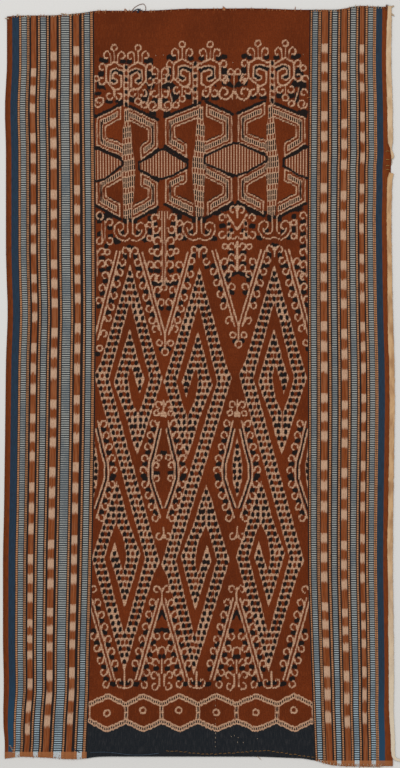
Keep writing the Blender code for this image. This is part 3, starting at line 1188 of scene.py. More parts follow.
def ripple(square, row):
    """Slow, low swells, as in a cloth that has been folded and worn."""
    return SWELL * (
        np.sin(square / 31 + 0.6 * np.sin(row / 90)) * np.sin(row / 47 + 1.3) * 0.5 + 0.5
    ) + 0.00008 * np.sin(square / 9.5 + row / 61) * np.sin(row / 17)


def cloth_height(square, row):
    """The height of the cloth's face above the floor."""
    head = np.interp(square, *HEAD_RIM)
    foot = np.interp(square, *FOOT_RIM)
    hem = np.maximum(1 - smooth((row - head - HEM_ROWS) / 1.6), 1 - smooth((foot - HEM_ROWS - row) / 1.6))
    away = np.minimum(
        np.minimum(square - np.interp(row, *LEFT_RIM), np.interp(row, *RIGHT_RIM) - square),
        np.minimum(row - head, foot - row),
    )
    rounding = np.sqrt(np.clip(away / EDGE_ROWS, 0, 1))
    body = THICKNESS + (HEM_THICKNESS - THICKNESS) * hem + ripple(square, row) * smooth((away - 4) / 20)
    return body * (0.55 + 0.45 * rounding)


height = cloth_height(grid_square, grid_row)
print("height of the cloth:", round(float(height.min()), 5), "to", round(float(height.max()), 5))

# %% [markdown]
# The borders have ikat stripes too, with spots in groups of three that the weaver didn't space quite
# evenly. So each point carries its beat, a count that grows by one group's length from each group's first
# row to the next. The shader can then place the spots as if they were even.

# %% The beat of the ikat spots
GROUP_ROWS = (-23, 46, 113, 185, 255, 323, 395, 462, 535, 604, 667)
SPOT_GROUP = 68.8
LAST_GROUP = (724, 48.6), (735, 58.4), (740, 66.0), (800, 66.5)

beats = [(row, (count - 1) * SPOT_GROUP) for count, row in enumerate(GROUP_ROWS)]
beats += [(row, beats[-1][1] + beat) for row, beat in LAST_GROUP]
grid_beat = np.interp(grid_row, *zip(*beats))
print("beats:", round(float(grid_beat.min())), "to", round(float(grid_beat.max())))

# %% [markdown]
# The mesh is the grid with a skirt of two rows of faces down to the floor. The chart's layers, the loom
# places, the rows and the beats go with it as numbers kept in its points, and the skirt repeats those of
# the rim.

# %% The cloth's mesh
EDGE_OUT = 0.0002
SKIRT_FLARE = 0.7
SKIRT_HEIGHT = 0.00035


def mesh_object(name, points, faces, layers=None):
    """A mesh object with smooth faces. layers are numbers kept for each point, by name."""
    mesh = bpy.data.meshes.new(name)
    mesh.from_pydata([tuple(p) for p in points], [], [tuple(f) for f in faces])
    mesh.polygons.foreach_set("use_smooth", [True] * len(mesh.polygons))
    for layer, values in (layers or {}).items():
        mesh.attributes.new(layer, "FLOAT", "POINT").data.foreach_set("value", np.ravel(values).astype("f"))
    mesh.update()
    made = bpy.data.objects.new(name, mesh)
    bpy.context.scene.collection.objects.link(made)
    return made


def rows_of_faces(rows, columns):
    """The four corners of each face of a grid, wound so that the face looks up."""
    index = np.arange(rows * columns).reshape(rows, columns)
    return np.stack([index[1:, :-1], index[1:, 1:], index[:-1, 1:], index[:-1, :-1]], axis=-1).reshape(-1, 4)


def edge_loop(rows, columns):
    """The grid's rim as one loop of point numbers."""
    index = np.arange(rows * columns).reshape(rows, columns)
    return np.concatenate([index[0, :-1], index[:-1, -1], index[-1, :0:-1], index[:0:-1, 0]])


row_count, column_count = grid_row.shape
grid_x, grid_y = to_room(grid_square, grid_row)
top_points = np.stack([grid_x, grid_y, height], axis=-1).reshape(-1, 3)
loop = edge_loop(row_count, column_count)
rim_points = top_points[loop]
middle_point = rim_points.mean(axis=0)
outward = np.sign(rim_points[:, :2] - middle_point[:2]) * EDGE_OUT * SKIRT_FLARE
low_points = np.column_stack([rim_points[:, :2] + outward, np.full(len(loop), SKIRT_HEIGHT)])
foot_points = np.column_stack([rim_points[:, :2], np.full(len(loop), 0.0)])
all_points = np.concatenate([top_points, low_points, foot_points])
step = np.arange(len(loop))
after = (step + 1) % len(loop)
low, foot = len(top_points), len(top_points) + len(loop)
skirt = np.stack([loop, loop[after], low + after, low + step], axis=-1)
skirt_foot = np.stack([low + step, low + after, foot + after, foot + step], axis=-1)
layers = {name: np.clip(values, -FAR, FAR) for name, values in chart.items()}
layers.update(loom=grid_loom, row=grid_row, beat=grid_beat)
layers = {
    name: np.concatenate([np.ravel(values)] + [np.ravel(values)[loop]] * 2) for name, values in layers.items()
}
cloth = mesh_object(
    "cloth_sheet", all_points,
    np.concatenate([rows_of_faces(row_count, column_count), skirt[:, ::-1], skirt_foot[:, ::-1]]), layers,
)
print("cloth points:", len(cloth.data.vertices), "faces:", len(cloth.data.polygons))

# %% [markdown]
# Baking a finish to a picture needs a flat map of the piece. For a cloth that lies flat the best map is the
# view from above, so we give it that one.

# %% The cloth's flat map
flat_map = cloth.data.uv_layers.new(name="OFBake")
corner_points = np.empty(len(cloth.data.loops), int)
cloth.data.loops.foreach_get("vertex_index", corner_points)
map_scale = 0.98 / max(np.ptp(all_points[:, 0]), np.ptp(all_points[:, 1]))
flat = (all_points[:, :2] - all_points[:, :2].min(axis=0)) * map_scale + 0.01
flat_map.data.foreach_set("uv", flat[corner_points].ravel())
print("flat map's scale:", round(float(map_scale), 3))

# %% [markdown]
# Shader maths reads best as sums. This small class wraps a socket, so that `1 - mask` adds the Math node
# that works it out. Every other node comes from one method, which sets the node's own settings first and
# then fills its sockets with numbers, colours or links.

# %% Sums on sockets
class Wire:
    """An output socket that takes part in sums."""

    def __init__(self, finish, socket):
        self.finish = finish
        self.socket = socket

    def sum(self, operation, *values):
        """The Math node for one operation."""
        return self.finish.node("ShaderNodeMath", {"operation": operation}, dict(enumerate(values)))

    def __add__(self, other):
        return self.sum("ADD", self, other)

    __radd__ = __add__

    def __sub__(self, other):
        return self.sum("SUBTRACT", self, other)

    def __rsub__(self, other):
        return self.sum("SUBTRACT", other, self)

    def __mul__(self, other):
        return self.sum("MULTIPLY", self, other)

    __rmul__ = __mul__

    def __abs__(self):
        return self.sum("ABSOLUTE", self)

    def part(self, size=1.0):
        """What is left over after whole steps of a size."""
        return self.sum("FLOORED_MODULO", self, size)

    def above(self, low, high):
        """0 below low and 1 above high, or the other way round if low is the larger."""
        settings = {"interpolation_type": "SMOOTHSTEP"}
        return self.finish.node("ShaderNodeMapRange", settings, {0: self, 1: low, 2: high, 3: 0.0, 4: 1.0})

    def least(self, other):
        """The smaller of two numbers."""
        return self.sum("MINIMUM", self, other)

    def output(self, name):
        """Another output of the same node, by its name or its number."""
        return Wire(self.finish, self.socket.node.outputs[name])


print("what a wire can do besides sums:", [name for name in vars(Wire) if name[0] != "_"])

# %% [markdown]
# A finish is a material under construction. Its nodes are named by what they do: a layer reads a number
# kept in the mesh, noise and place make unevenness, and mix puts one colour over another.

# %% A finish
class Finish:
    """A material under construction."""

    def __init__(self, name):
        self.material = bpy.data.materials.new(name)
        self.material.use_nodes = True
        self.tree = self.material.node_tree
        self.shader = self.tree.nodes["Principled BSDF"]

    def node(self, kind, settings, sockets):
        """A node of a type, with its settings made and its sockets filled; gives its first output."""
        made = self.tree.nodes.new(kind)
        for name, value in settings.items():
            if name == "stops":
                fill_ramp(made.color_ramp, value)
            else:
                setattr(made, name, value)
        for name, value in sockets.items():
            self.fill(made.inputs[name], value)
        return Wire(self, next(socket for socket in made.outputs if socket.enabled))

    def fill(self, socket, value):
        """Links a wire to a socket, or sets the socket's own value."""
        if isinstance(value, Wire):
            self.tree.links.new(value.socket, socket)
        else:
            socket.default_value = value

    def layer(self, name):
        """A number kept in the mesh's points."""
        return self.node("ShaderNodeAttribute", {"attribute_name": name}, {}).output("Fac")

    def noise(self, place, scale, detail=2.0, roughness=0.5):
        """Noise from 0 to 1 at a place."""
        return self.node("ShaderNodeTexNoise", {}, {
            "Vector": place, "Scale": scale, "Detail": detail, "Roughness": roughness,
        })

    def place(self, x, y, z=0.0):
        """Three numbers as a vector."""
        return self.node("ShaderNodeCombineXYZ", {}, {0: x, 1: y, 2: z})

    def mix(self, share, low, high):
        """A colour between two others."""
        settings = {"data_type": "RGBA"}
        return self.node("ShaderNodeMix", settings, {0: share, 6: low, 7: high}).output(2)

    def bump(self, height, distance, strength=1.0):
        """A relief that only the light sees."""
        return self.node("ShaderNodeBump", {}, {"Height": height, "Distance": distance, "Strength": strength})

    def done(self, **sockets):
        """Fills the shader's own sockets."""
        for name, value in sockets.items():
            self.fill(self.shader.inputs[name.replace("_", " ")], value)
        return self.material


def fill_ramp(ramp, stops):
    """Sets a ramp's stops: a list of (place, colour), each held up to the next."""
    ramp.interpolation = "CONSTANT"
    while len(ramp.elements) > 1:
        ramp.elements.remove(ramp.elements[-1])
    ramp.elements[0].position = stops[0][0]
    ramp.elements[0].color = stops[0][1]
    for place, colour in stops[1:]:
        ramp.elements.new(place).color = colour


print("what a finish can do:", [name for name in vars(Finish) if name[0] != "_"])

# %% [markdown]
# The borders are warp stripes, so a weaver writes them as a warping plan: from the selvedge inwards, so
# many squares of each yarn. Ladders are pairs of pale and navy warps that swap places at each weft, ikat
# stripes are brown warps with undyed spots, and between them run beaded orange lines with dark edges.

# %% The warping plan
CREAM = (0.510, 0.318, 0.205, 1)
NAVY = (0.0090, 0.0066, 0.0062, 1)
YARNS = {
    "selvedge": (0.170, 0.036, 0.007, 1),
    "blue": (0.0160, 0.0350, 0.0600, 1),
    "dark": (0.0140, 0.0100, 0.0100, 1),
    "brown": (0.150, 0.040, 0.012, 1),
    "orange": (0.440, 0.200, 0.090, 1),
    "ladder": (0.0140, 0.0200, 0.0280, 1),
    "ikat": (0.185, 0.044, 0.010, 1),
}
LADDER_PALE = (0.320, 0.325, 0.300, 1)
LADDER_BLUE = (0.310, 0.400, 0.450, 1)
LADDER_SHADE = (0.062, 0.082, 0.100, 1)
FRESH_BLUE = (0.014, 0.055, 0.105, 1)
IKAT_LIGHT = (0.270, 0.098, 0.040, 1)
SPOT_CREAM = (0.480, 0.310, 0.205, 1)
LEFT_PLAN = (
    ("selvedge", 5.1), ("blue", 6.6), ("dark", 0.5), ("orange", 1.7), ("dark", 0.7), ("ladder", 4.7),
    ("dark", 0.8), ("orange", 0.9), ("dark", 0.3), ("orange", 0.8), ("dark", 2.0), ("ikat", 5.0),
    ("dark", 1.8), ("orange", 1.6), ("dark", 1.2), ("ladder", 4.9), ("dark", 1.2), ("orange", 1.6),
    ("dark", 1.9), ("ikat", 6.1), ("dark", 2.3), ("orange", 1.4), ("dark", 1.1), ("ladder", 7.6),
    ("dark", 0.9), ("orange", 1.6), ("dark", 1.8), ("ikat", 5.6), ("dark", 2.8), ("orange", 1.6),
    ("dark", 1.2), ("ladder", 4.8), ("dark", 1.0), ("orange", 0.9), ("brown", 0.4), ("orange", 0.9),
    ("dark", 1.6),
)
RIGHT_PLAN = (
    ("selvedge", 8.5), ("blue", 6.4), ("orange", 1.3), ("dark", 0.4), ("orange", 1.1), ("dark", 0.4),
    ("ladder", 4.6), ("dark", 1.0), ("orange", 1.9), ("dark", 1.5), ("ikat", 4.4), ("dark", 1.8),
    ("orange", 1.6), ("dark", 1.0), ("ladder", 5.0), ("dark", 1.2), ("orange", 1.7), ("dark", 1.2),
    ("ikat", 5.7), ("dark", 1.4), ("orange", 1.7), ("dark", 1.4), ("ladder", 4.6), ("dark", 1.2),
    ("orange", 1.9), ("dark", 1.8), ("ikat", 6.3), ("dark", 1.2), ("orange", 0.9), ("dark", 0.3),
    ("orange", 0.8), ("dark", 1.3), ("ladder", 4.8), ("dark", 1.0), ("orange", 1.2), ("dark", 1.3),
)
STOPS_PER_RAMP = 20


def stripe_edges(plan, selvedge, middle):
    """Where each stripe starts and ends, in loom squares, sorted from left to right."""
    scale = (middle - selvedge) / sum(width for yarn, width in plan)
    place = selvedge
    edges = []
    for yarn, width in plan:
        edges.append((min(place, place + width * scale), max(place, place + width * scale), yarn))
        place += width * scale
    return sorted(edges)


def stripe_colour(finish, loom, edges, colour_of):
    """A colour for each stripe of a border, by loom place. A ramp holds few stops, so ramps follow on."""
    colour = None
    for first in range(0, len(edges), STOPS_PER_RAMP):
        run = edges[first:first + STOPS_PER_RAMP]
        low, high = run[0][0], run[-1][1]
        stops = [((start - low) / (high - low), colour_of(yarn, start)) for start, end, yarn in run]
        ramp = finish.node("ShaderNodeValToRGB", {"stops": stops}, {0: (loom - low) * (1 / (high - low))})
        colour = finish.mix(loom.above(low - 0.01, low + 0.01), colour, ramp) if colour else ramp
    return colour


LEFT_EDGES = stripe_edges(LEFT_PLAN, LOOM_LEFT, LOOM_MIDDLE_LEFT)
RIGHT_EDGES = stripe_edges(RIGHT_PLAN, LOOM_RIGHT, LOOM_MIDDLE_RIGHT)
print("stripes:", len(LEFT_EDGES), "and", len(RIGHT_EDGES))

# %% [markdown]
# In each ikat stripe the undyed spots come in threes. A stripe starts its count a little earlier or later
# than its neighbours, and its lateness rides in the plan's colours, as its blue. Counting round the group
# then gives every spot. Red says in the same way which stripes are ladders or have beads.

# %% The ikat spots
SPOT_STEP = 19.6
SPOT_HALF = 4.7
SPOT_LATE = (19.0, 4.5, 0.0, -2.0, 5.5, -1.3)
EARLIEST = -10.0
LATE_SPAN = 100.0
FIRST_BEAT = -6.0
MARKS = {"ladder": 1.0, "orange": 0.5, "blue": 0.2}


def border_marks(yarn, start):
    """What the shader shall do in a stripe: red for ladder or beads, green for ikat, blue for its start."""
    ikats = [edge[0] for edge in LEFT_EDGES + RIGHT_EDGES if edge[2] == "ikat"]
    late = (SPOT_LATE[ikats.index(start)] - EARLIEST) / LATE_SPAN if yarn == "ikat" else 0.0
    return (MARKS.get(yarn, 0.0), float(yarn == "ikat"), late, 1.0)


def ikat_spots(finish, late, row, yarn_noise, fine_noise):
    """Where the spots of an ikat stripe are, with feathered ends. late is how late the stripe starts."""
    drift = 1.25 - row.above(40.0, 130.0) * 0.25 - row.above(580.0, 690.0) * 0.5
    since_start = finish.layer("beat") - (late * LATE_SPAN + EARLIEST) * drift
    counted = since_start.part(SPOT_GROUP)
    near = abs(counted - SPOT_HALF)
    for turn in (1, 2):
        near = near.least(abs(counted - SPOT_HALF - turn * SPOT_STEP))
    strength = (yarn_noise * 0.8 + fine_noise * 0.8 + 0.02).least(1.0)
    spots = (near - SPOT_HALF + (yarn_noise - 0.5) * 8.0).above(1.6, -1.6) * strength
    return spots * since_start.above(FIRST_BEAT, FIRST_BEAT + 2)


print("ikat stripes:", len(SPOT_LATE))

# %% [markdown]
# A border's colour builds up like the warp itself: first the plain stripes, then the dye's depth in them,
# then ladders, spots and beads on top. Past the fold at the foot, the cloth shows its other side, which
# is orange.

# %% The borders' finish
LADDER_PITCH = 2.25
FLAP_FOLDS = (751.3, 760.0)
FLAP_ORANGE = (0.300, 0.110, 0.040, 1)
FLAP_WHITE = (0.480, 0.520, 0.530, 1)


def border_finish(finish, loom, row, edges, yarn_noise, fine_noise, fold):
    """The colour of one border."""
    base = stripe_colour(finish, loom, edges, lambda yarn, start: YARNS[yarn])
    marks = stripe_colour(finish, loom, edges, border_marks)
    split = finish.node("ShaderNodeSeparateColor", {}, {0: marks})
    ladder = split.above(0.8, 0.9)
    bead = split.above(0.3, 0.4) - ladder
    blue = split.above(0.1, 0.15) - ladder - bead
    ikat = split.output("Green")
    spots = ikat_spots(finish, split.output("Blue"), row, yarn_noise, fine_noise)
    rungs = row * (1 / LADDER_PITCH)
    bars = abs(rungs.part() - 0.5).above(0.24, 0.29)
    beads = abs((rungs + 0.3).part() - 0.5).above(0.28, 0.40)
    fading = finish.noise(finish.place(loom * 0.05, row * 0.03), 1.0, 1.0).above(0.34, 0.62)
    depth = finish.noise(finish.place(loom * 1.1, row * 0.03), 1.0, 1.0).above(0.45, 0.62)
    base = finish.mix((1 - yarn_noise).above(0.35, 0.7) * 0.35, base, YARNS["dark"])
    base = finish.mix(ikat * depth * 0.6, base, IKAT_LIGHT)
    base = finish.mix(blue * row.above(660.0, 740.0) * 0.7, base, FRESH_BLUE)
    base = finish.mix((ladder * (1 - fading)) * 0.6, base, LADDER_SHADE)
    lit = ladder * bars * (fading * 0.55 + 0.55) * (fine_noise * 1.5 + 0.2)
    colour = finish.mix(lit, base, finish.mix(row.above(560.0, 760.0), LADDER_PALE, LADDER_BLUE))
    colour = finish.mix(ikat * spots, colour, SPOT_CREAM)
    colour = finish.mix(bead * beads * (fine_noise * 0.9 + 0.45).least(1.0), colour, YARNS["dark"])
    reverse = finish.mix(ladder * fine_noise.above(0.2, 0.5), FLAP_ORANGE, FLAP_WHITE)
    return finish.mix(row.above(fold, fold + 1) * (0.55 + fine_noise * 0.5).least(1.0), colour, reverse)


print("rungs to a ladder:", round(CHART_LENGTH / LADDER_PITCH))

# %% [markdown]
# The middle's finish reads the chart's layers. The cream starts where the distance falls below zero, but
# each yarn has its own small shift there, which gives the feathered edge. Dark dashes and brown stripes
# are counted across the warp. Then come the dye's uneven depth, the yarns' own streaks, and wear.

# %% The cloth's finish
DASH_PITCH = 2.12
STREAK_PITCH = 2.8
YARNS_PER_SQUARE = 2.6
WEFTS_PER_SQUARE = 0.95
BUNDLES_PER_SQUARE = 1.2
THIN = 0.2
SPREAD = 0.35
BROWN_DEEP, BROWN = (0.092, 0.0165, 0.0036, 1), (0.138, 0.0245, 0.0050, 1)
BROWN_SHADE, BROWN_YARN_LIGHT = (0.055, 0.0105, 0.0030, 1), (0.190, 0.0400, 0.0090, 1)
HEM_NAVY, HEM_NAVY_WORN = (0.0095, 0.0125, 0.0160, 1), (0.034, 0.034, 0.036, 1)
CREAM_SHADE, CREAM_BEAD = (0.270, 0.130, 0.068, 1), (0.150, 0.066, 0.036, 1)
WORN = (0.20, 0.13, 0.09, 1)


def cloth_finish():
    """The cloth's whole material: middle, borders, wear and relief."""
    finish = Finish("ikat_cotton")
    loom, row = finish.layer("loom"), finish.layer("row")
    cream, dark = finish.layer("cream"), finish.layer("dark")
    dashes, streaks = finish.layer("dashes"), finish.layer("streaks")
    yarn_noise = finish.noise(finish.place(loom * BUNDLES_PER_SQUARE, row * 0.13), 1.0, 1.0)
    fine_noise = finish.noise(finish.place(loom * BUNDLES_PER_SQUARE, row * 0.62, 5.0), 1.0, 1.0)
    blotches = finish.noise(finish.place(loom * 0.02, row * 0.012), 1.0, 3.0)
    feather = (yarn_noise - 0.5) * 1.5
    cream_share = (cream + feather + THIN).above(0.3, -0.3)
    dark_share = (dark + feather - SPREAD).above(0.45, -0.45)
    dash = abs((loom * (1 / DASH_PITCH)).part() - 0.5).above(0.14, 0.26)
    dash_share = (dashes + feather).above(0.4, -0.4) * dash
    streak = (abs((loom * (1 / STREAK_PITCH)).part() - 0.5) + (fine_noise - 0.5) * 0.3).above(0.12, 0.26)
    streak_share = (streaks + feather).above(0.4, -0.4) * streak
    ground = finish.mix(blotches.above(0.3, 0.7), BROWN_DEEP, BROWN)
    ground = finish.mix((1 - fine_noise).above(0.4, 0.65) * 0.45, ground, BROWN_SHADE)
    ground = finish.mix(yarn_noise.above(0.5, 0.75) * 0.4, ground, BROWN_YARN_LIGHT)
    hem_navy = finish.mix(yarn_noise.above(0.45, 0.8) * 0.6, HEM_NAVY, HEM_NAVY_WORN)
    navy = finish.mix(row.above(700.0, 735.0), NAVY, hem_navy)
    middle = finish.mix(dark_share, ground, navy)
    beading = abs((row * (1 / LADDER_PITCH) + yarn_noise * 1.6).part() - 0.5).above(0.26, 0.40)
    pale = finish.mix((1 - fine_noise).above(0.38, 0.62) * 0.6, CREAM, CREAM_SHADE)
    pale = finish.mix(beading * 0.5, pale, CREAM_BEAD)
    middle = finish.mix(cream_share, middle, pale)
    middle = finish.mix(streak_share * cream_share, middle, ground)
    middle = finish.mix(dash_share * cream_share, middle, navy)
    left = border_finish(finish, loom, row, LEFT_EDGES, yarn_noise, fine_noise, FLAP_FOLDS[0])
    right = border_finish(finish, loom, row, RIGHT_EDGES, yarn_noise, fine_noise, FLAP_FOLDS[1])
    colour = finish.mix(loom.above(LOOM_MIDDLE_LEFT - 0.05, LOOM_MIDDLE_LEFT + 0.05), left, middle)
    colour = finish.mix(loom.above(LOOM_MIDDLE_RIGHT - 0.05, LOOM_MIDDLE_RIGHT + 0.05), colour, right)
    worn = finish.noise(finish.place(loom * 1.1, row * 1.1), 1.0, 2.0).above(0.4, 0.8)
    colour = finish.mix(worn * 0.06, colour, WORN)
    warp_ridge = abs((loom * YARNS_PER_SQUARE).part() - 0.5)
    weft_ridge = abs((row * WEFTS_PER_SQUARE).part() - 0.5)
    relief = 0.6 - warp_ridge * 0.5 - weft_ridge * 0.5 + (fine_noise - 0.5) * 0.4
    return finish.done(
        Base_Color=colour,
        Roughness=0.92 - fine_noise * 0.12,
        Specular_IOR_Level=0.04,
        Normal=finish.bump(relief, 0.00016, 0.55),
    )


cloth.data.materials.append(cloth_finish())
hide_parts("cloth")
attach(cloth, "root")
print("cloth's nodes:", len(cloth.data.materials[0].node_tree.nodes))

# %% [markdown]
# A cream cotton tape is sewn along the right selvedge. It has torn through near the head, and its foot
# end hangs loose. Each length is a narrow strip. A table gives, in millimetres, its place up or down from
# the cloth's middle, its width and how far it stands over the edge. Between the stitches it puckers, and
# its torn ends grow thin.

# %% The edging tape
TAPE_THICKNESS = 0.0009
TAPE_CLEARANCE = 0.0003
TAPE_WANDER = 0.00016
TAPE_PUCKER = 0.00014
TAPE_PALE = (0.640, 0.560, 0.430, 1)
TAPE_WEAVE = (0.30, 0.18, 0.10, 1)
UPPER_TAPE = (
    (536.8, 5.7, 1.6), (526, 5.8, 1.6), (511, 6.6, 1.6), (477, 7.1, 1.6), (426, 7.7, 1.7), (349.3, 7.4, 1.7),
    (342.2, 6.6, 1.4), (338, 4.2, 0.4), (335.8, 2.4, -0.2), (332.3, 2.6, 0.2), (328, 3.6, 2.0),
    (323.8, 4.2, 3.4), (319.5, 1.8, 1.4),
)
LOWER_TAPE = (
    (299.5, 6.9, 4.6), (291, 7.4, 2.2), (275.5, 7.1, 1.6), (240, 6.7, 1.6), (169, 6.4, 1.6), (98, 7.3, 1.6),
    (62.5, 8.0, 1.7), (27, 7.5, 1.6), (-44, 7.1, 1.6), (-115, 7.1, 1.6), (-186, 7.1, 1.6), (-221.5, 7.9, 1.7),
    (-292.5, 6.8, 1.6), (-346, 7.5, 1.6), (-434.5, 7.2, 1.6), (-470, 6.2, 1.6), (-505, 5.7, 1.6),
    (-519.7, 5.7, 1.6), (-528.2, 4.6, 1.8),
)
TAIL = ((276.4, -531.6, 4.2), (279.8, -533.4, 3.8), (284.0, -534.3, 3.6), (292.5, -535.3, 3.2))
print("places given for the tape:", len(UPPER_TAPE) + len(LOWER_TAPE) + len(TAIL))

# %% [markdown]
# A strip follows its table down the selvedge. Its two sides wander a little, and it swells in the middle
# of its width. It lies on whatever is under it, the cloth or the floor, and a small gap keeps the two
# apart.

# %% A strip of tape
MILLIMETRE = 0.001
TAPE_STEP = 0.0016
TAPE_COLUMNS = 8


def selvedge_x(y):
    """The right selvedge's place in the room at a height y of the room."""
    row = to_chart(0, y)[1]
    return to_room(np.interp(row, *RIGHT_RIM), 0)[0]


def tape_strip(name, table, tail=()):
    """A tape as a closed strip of small faces."""
    middle_x, middle_y = to_room(*CHART_MIDDLE)
    rows = np.array(table) * MILLIMETRE
    length = abs(rows[-1, 0] - rows[0, 0])
    along = np.linspace(rows[0, 0], rows[-1, 0], int(length / TAPE_STEP))
    width = np.interp(-along, -rows[:, 0], rows[:, 1])
    overhang = np.interp(-along, -rows[:, 0], rows[:, 2])
    y = along + middle_y
    x = selvedge_x(y) + overhang - width / 2
    if tail:
        end = np.array(tail) * MILLIMETRE
        x = np.concatenate([x, end[:, 0] + middle_x])
        y = np.concatenate([y, end[:, 1] + middle_y])
        width = np.concatenate([width, end[:, 2]])
    path = np.stack([x, y], axis=1)
    heading = np.gradient(path, axis=0)
    heading /= np.linalg.norm(heading, axis=1)[:, None]
    across = np.stack([-heading[:, 1], heading[:, 0]], axis=1)
    wander = np.random.default_rng(len(table)).normal(0, TAPE_WANDER, (len(path), 2))
    wander = (wander + np.roll(wander, 1, axis=0) + np.roll(wander, -1, axis=0)) / 2
    share = np.linspace(-0.5, 0.5, TAPE_COLUMNS)
    sides = width[:, None] * share + np.where(share < 0, wander[:, :1], wander[:, 1:]) * np.abs(share) * 2
    px = path[:, :1] + across[:, :1] * sides
    py = path[:, 1:] + across[:, 1:] * sides
    square, row = to_chart(px, py)
    under = np.maximum(cloth_height(square, row), THICKNESS)
    reach = np.interp(row[:, 0], *RIGHT_RIM)[:, None]
    over_cloth = square < reach + 1.0
    low = np.where(over_cloth, under, THICKNESS) + TAPE_CLEARANCE
    along_rows = np.arange(len(path))[:, None]
    pucker = TAPE_PUCKER * np.sin(along_rows * 0.9) * np.cos(share * math.pi)
    dome = TAPE_THICKNESS * (0.7 + 0.3 * np.cos(share * math.pi)) + pucker
    top = np.stack([px, py, low + dome], axis=-1).reshape(-1, 3)
    bottom = np.stack([px, py, low + 0 * px], axis=-1).reshape(-1, 3)
    faces = rows_of_faces(len(path), TAPE_COLUMNS)
    around = edge_loop(len(path), TAPE_COLUMNS)
    under_around = around + len(top)
    side = np.stack([around, np.roll(around, -1), np.roll(under_around, -1), under_around], axis=-1)
    if across[0, 0] > 0:
        faces = faces[:, ::-1]
        side = side[:, ::-1]
    made = mesh_object(
        name, np.concatenate([top, bottom]), np.concatenate([faces, faces[:, ::-1] + len(top), side]),
        {"along": np.concatenate([np.repeat(np.arange(len(path)), TAPE_COLUMNS)] * 2) * TAPE_STEP * 1000,
         "across": np.concatenate([np.ravel(sides)] * 2) * 1000},
    )
    flat_length = np.linalg.norm(np.diff(path, axis=0), axis=1).sum() / MILLIMETRE
    print(name, "is", round(flat_length), "mm long and", round(width.mean() / MILLIMETRE, 1), "mm wide")
    return made

# %% [markdown]
# The tape is plain woven and soiled in places, so its colour drifts between two creams and its weave shows
# as small checks. The lower length grows paler towards its foot.

# %% The tape's finish and both lengths
def tape_finish(name, light, shade):
    """Plain-woven cream tape, soiled in places, its weave showing as small checks."""
    finish = Finish(name)
    along, across = finish.layer("along"), finish.layer("across")
    soil = finish.noise(finish.place(across * 0.12, along * 0.035), 1.0, 3.0)
    yarn = finish.noise(finish.place(across * 3.0, along * 0.8), 1.0, 1.0)
    colour = finish.mix(soil.above(0.35, 0.7), light, shade)
    colour = finish.mix(along.above(480.0, 800.0) * 0.85, colour, TAPE_PALE)
    colour = finish.mix(yarn.above(0.45, 0.8) * 0.4, colour, TAPE_WEAVE)
    checks = abs((across * 1.6).part() - 0.5) + abs((along * 1.1).part() - 0.5)
    return finish.done(
        Base_Color=colour,
        Roughness=0.94 - yarn * 0.1,
        Specular_IOR_Level=0.1,
        Normal=finish.bump(checks, 0.0003, 0.6),
    )


for name, table, tail, light, shade in (
    ("tape_upper", UPPER_TAPE, (), (0.60, 0.43, 0.27, 1), (0.43, 0.28, 0.155, 1)),
    ("tape_lower", LOWER_TAPE, TAIL, (0.54, 0.34, 0.175, 1), (0.34, 0.18, 0.085, 1)),
):
    tape = tape_strip(name + "_strip", table, tail)
    tape.data.materials.append(tape_finish(name + "_cotton", light, shade))
    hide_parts(name)
    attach(tape, "root")

# %% [markdown]
# Sewing gives a cloth its life: the hems' running stitch, tacks where the tape has torn, tufts of warp at
# both ends, a loop that has slipped out, and stubs of the tape. Each is a thin tube along a short path. A
# path is given in chart squares and rows, and lies on whatever is under it, the cloth or the floor.

# %% A thread along a path
THREAD_SIDES = 6
BETWEEN = 5


def on_top(square, row):
    """The height of the cloth's face, or of the floor where there is no cloth."""
    inside = (
        (square > np.interp(row, *LEFT_RIM)) & (square < np.interp(row, *RIGHT_RIM))
        & (row > np.interp(square, *HEAD_RIM)) & (row < np.interp(square, *FOOT_RIM))
    )
    return np.where(inside, cloth_height(square, row), 0.0)


def thread_tube(path, radius, flatness=1.0):
    """The points and faces of one thread, rounded off at its ends."""
    path = np.asarray(path, float)
    stops = np.linspace(0, len(path) - 1, (len(path) - 1) * BETWEEN + 1)
    line_points = np.stack([np.interp(stops, np.arange(len(path)), path[:, c]) for c in (0, 1)], axis=1)
    for turn in range(3):
        line_points[1:-1] = (line_points[:-2] + 2 * line_points[1:-1] + line_points[2:]) / 4
    x, y = to_room(line_points[:, 0], line_points[:, 1])
    rest = on_top(line_points[:, 0], line_points[:, 1])
    rest = np.maximum(rest, (np.roll(rest, 1) + np.roll(rest, -1)) / 2)
    centre = np.stack([x, y, rest + radius * flatness], axis=1)
    heading = np.gradient(centre[:, :2], axis=0)
    heading /= np.linalg.norm(heading, axis=1)[:, None] + 1e-12
    turns = np.linspace(0, 2 * math.pi, THREAD_SIDES, endpoint=False)
    thin = np.minimum(1, 0.45 + np.minimum(np.arange(len(centre)), np.arange(len(centre))[::-1]) * 0.35)
    sideways = np.cos(turns)[None, :] * radius * thin[:, None]
    upwards = np.sin(turns)[None, :] * radius * flatness * thin[:, None]
    points = np.stack([
        centre[:, :1] - heading[:, 1:] * sideways,
        centre[:, 1:2] + heading[:, :1] * sideways,
        centre[:, 2:] + upwards,
    ], axis=-1).reshape(-1, 3)
    faces = []
    for i in range(len(centre) - 1):
        for j in range(THREAD_SIDES):
            after = (j + 1) % THREAD_SIDES
            low, high = i * THREAD_SIDES, (i + 1) * THREAD_SIDES
            faces.append((low + j, high + j, high + after, low + after))
    last = (len(centre) - 1) * THREAD_SIDES
    faces.append(tuple(range(THREAD_SIDES)))
    faces.append(tuple(last + j for j in reversed(range(THREAD_SIDES))))
    return points, faces


print("corners in a short thread:", len(thread_tube([(100, 100), (104, 102)], 0.0005)[0]))

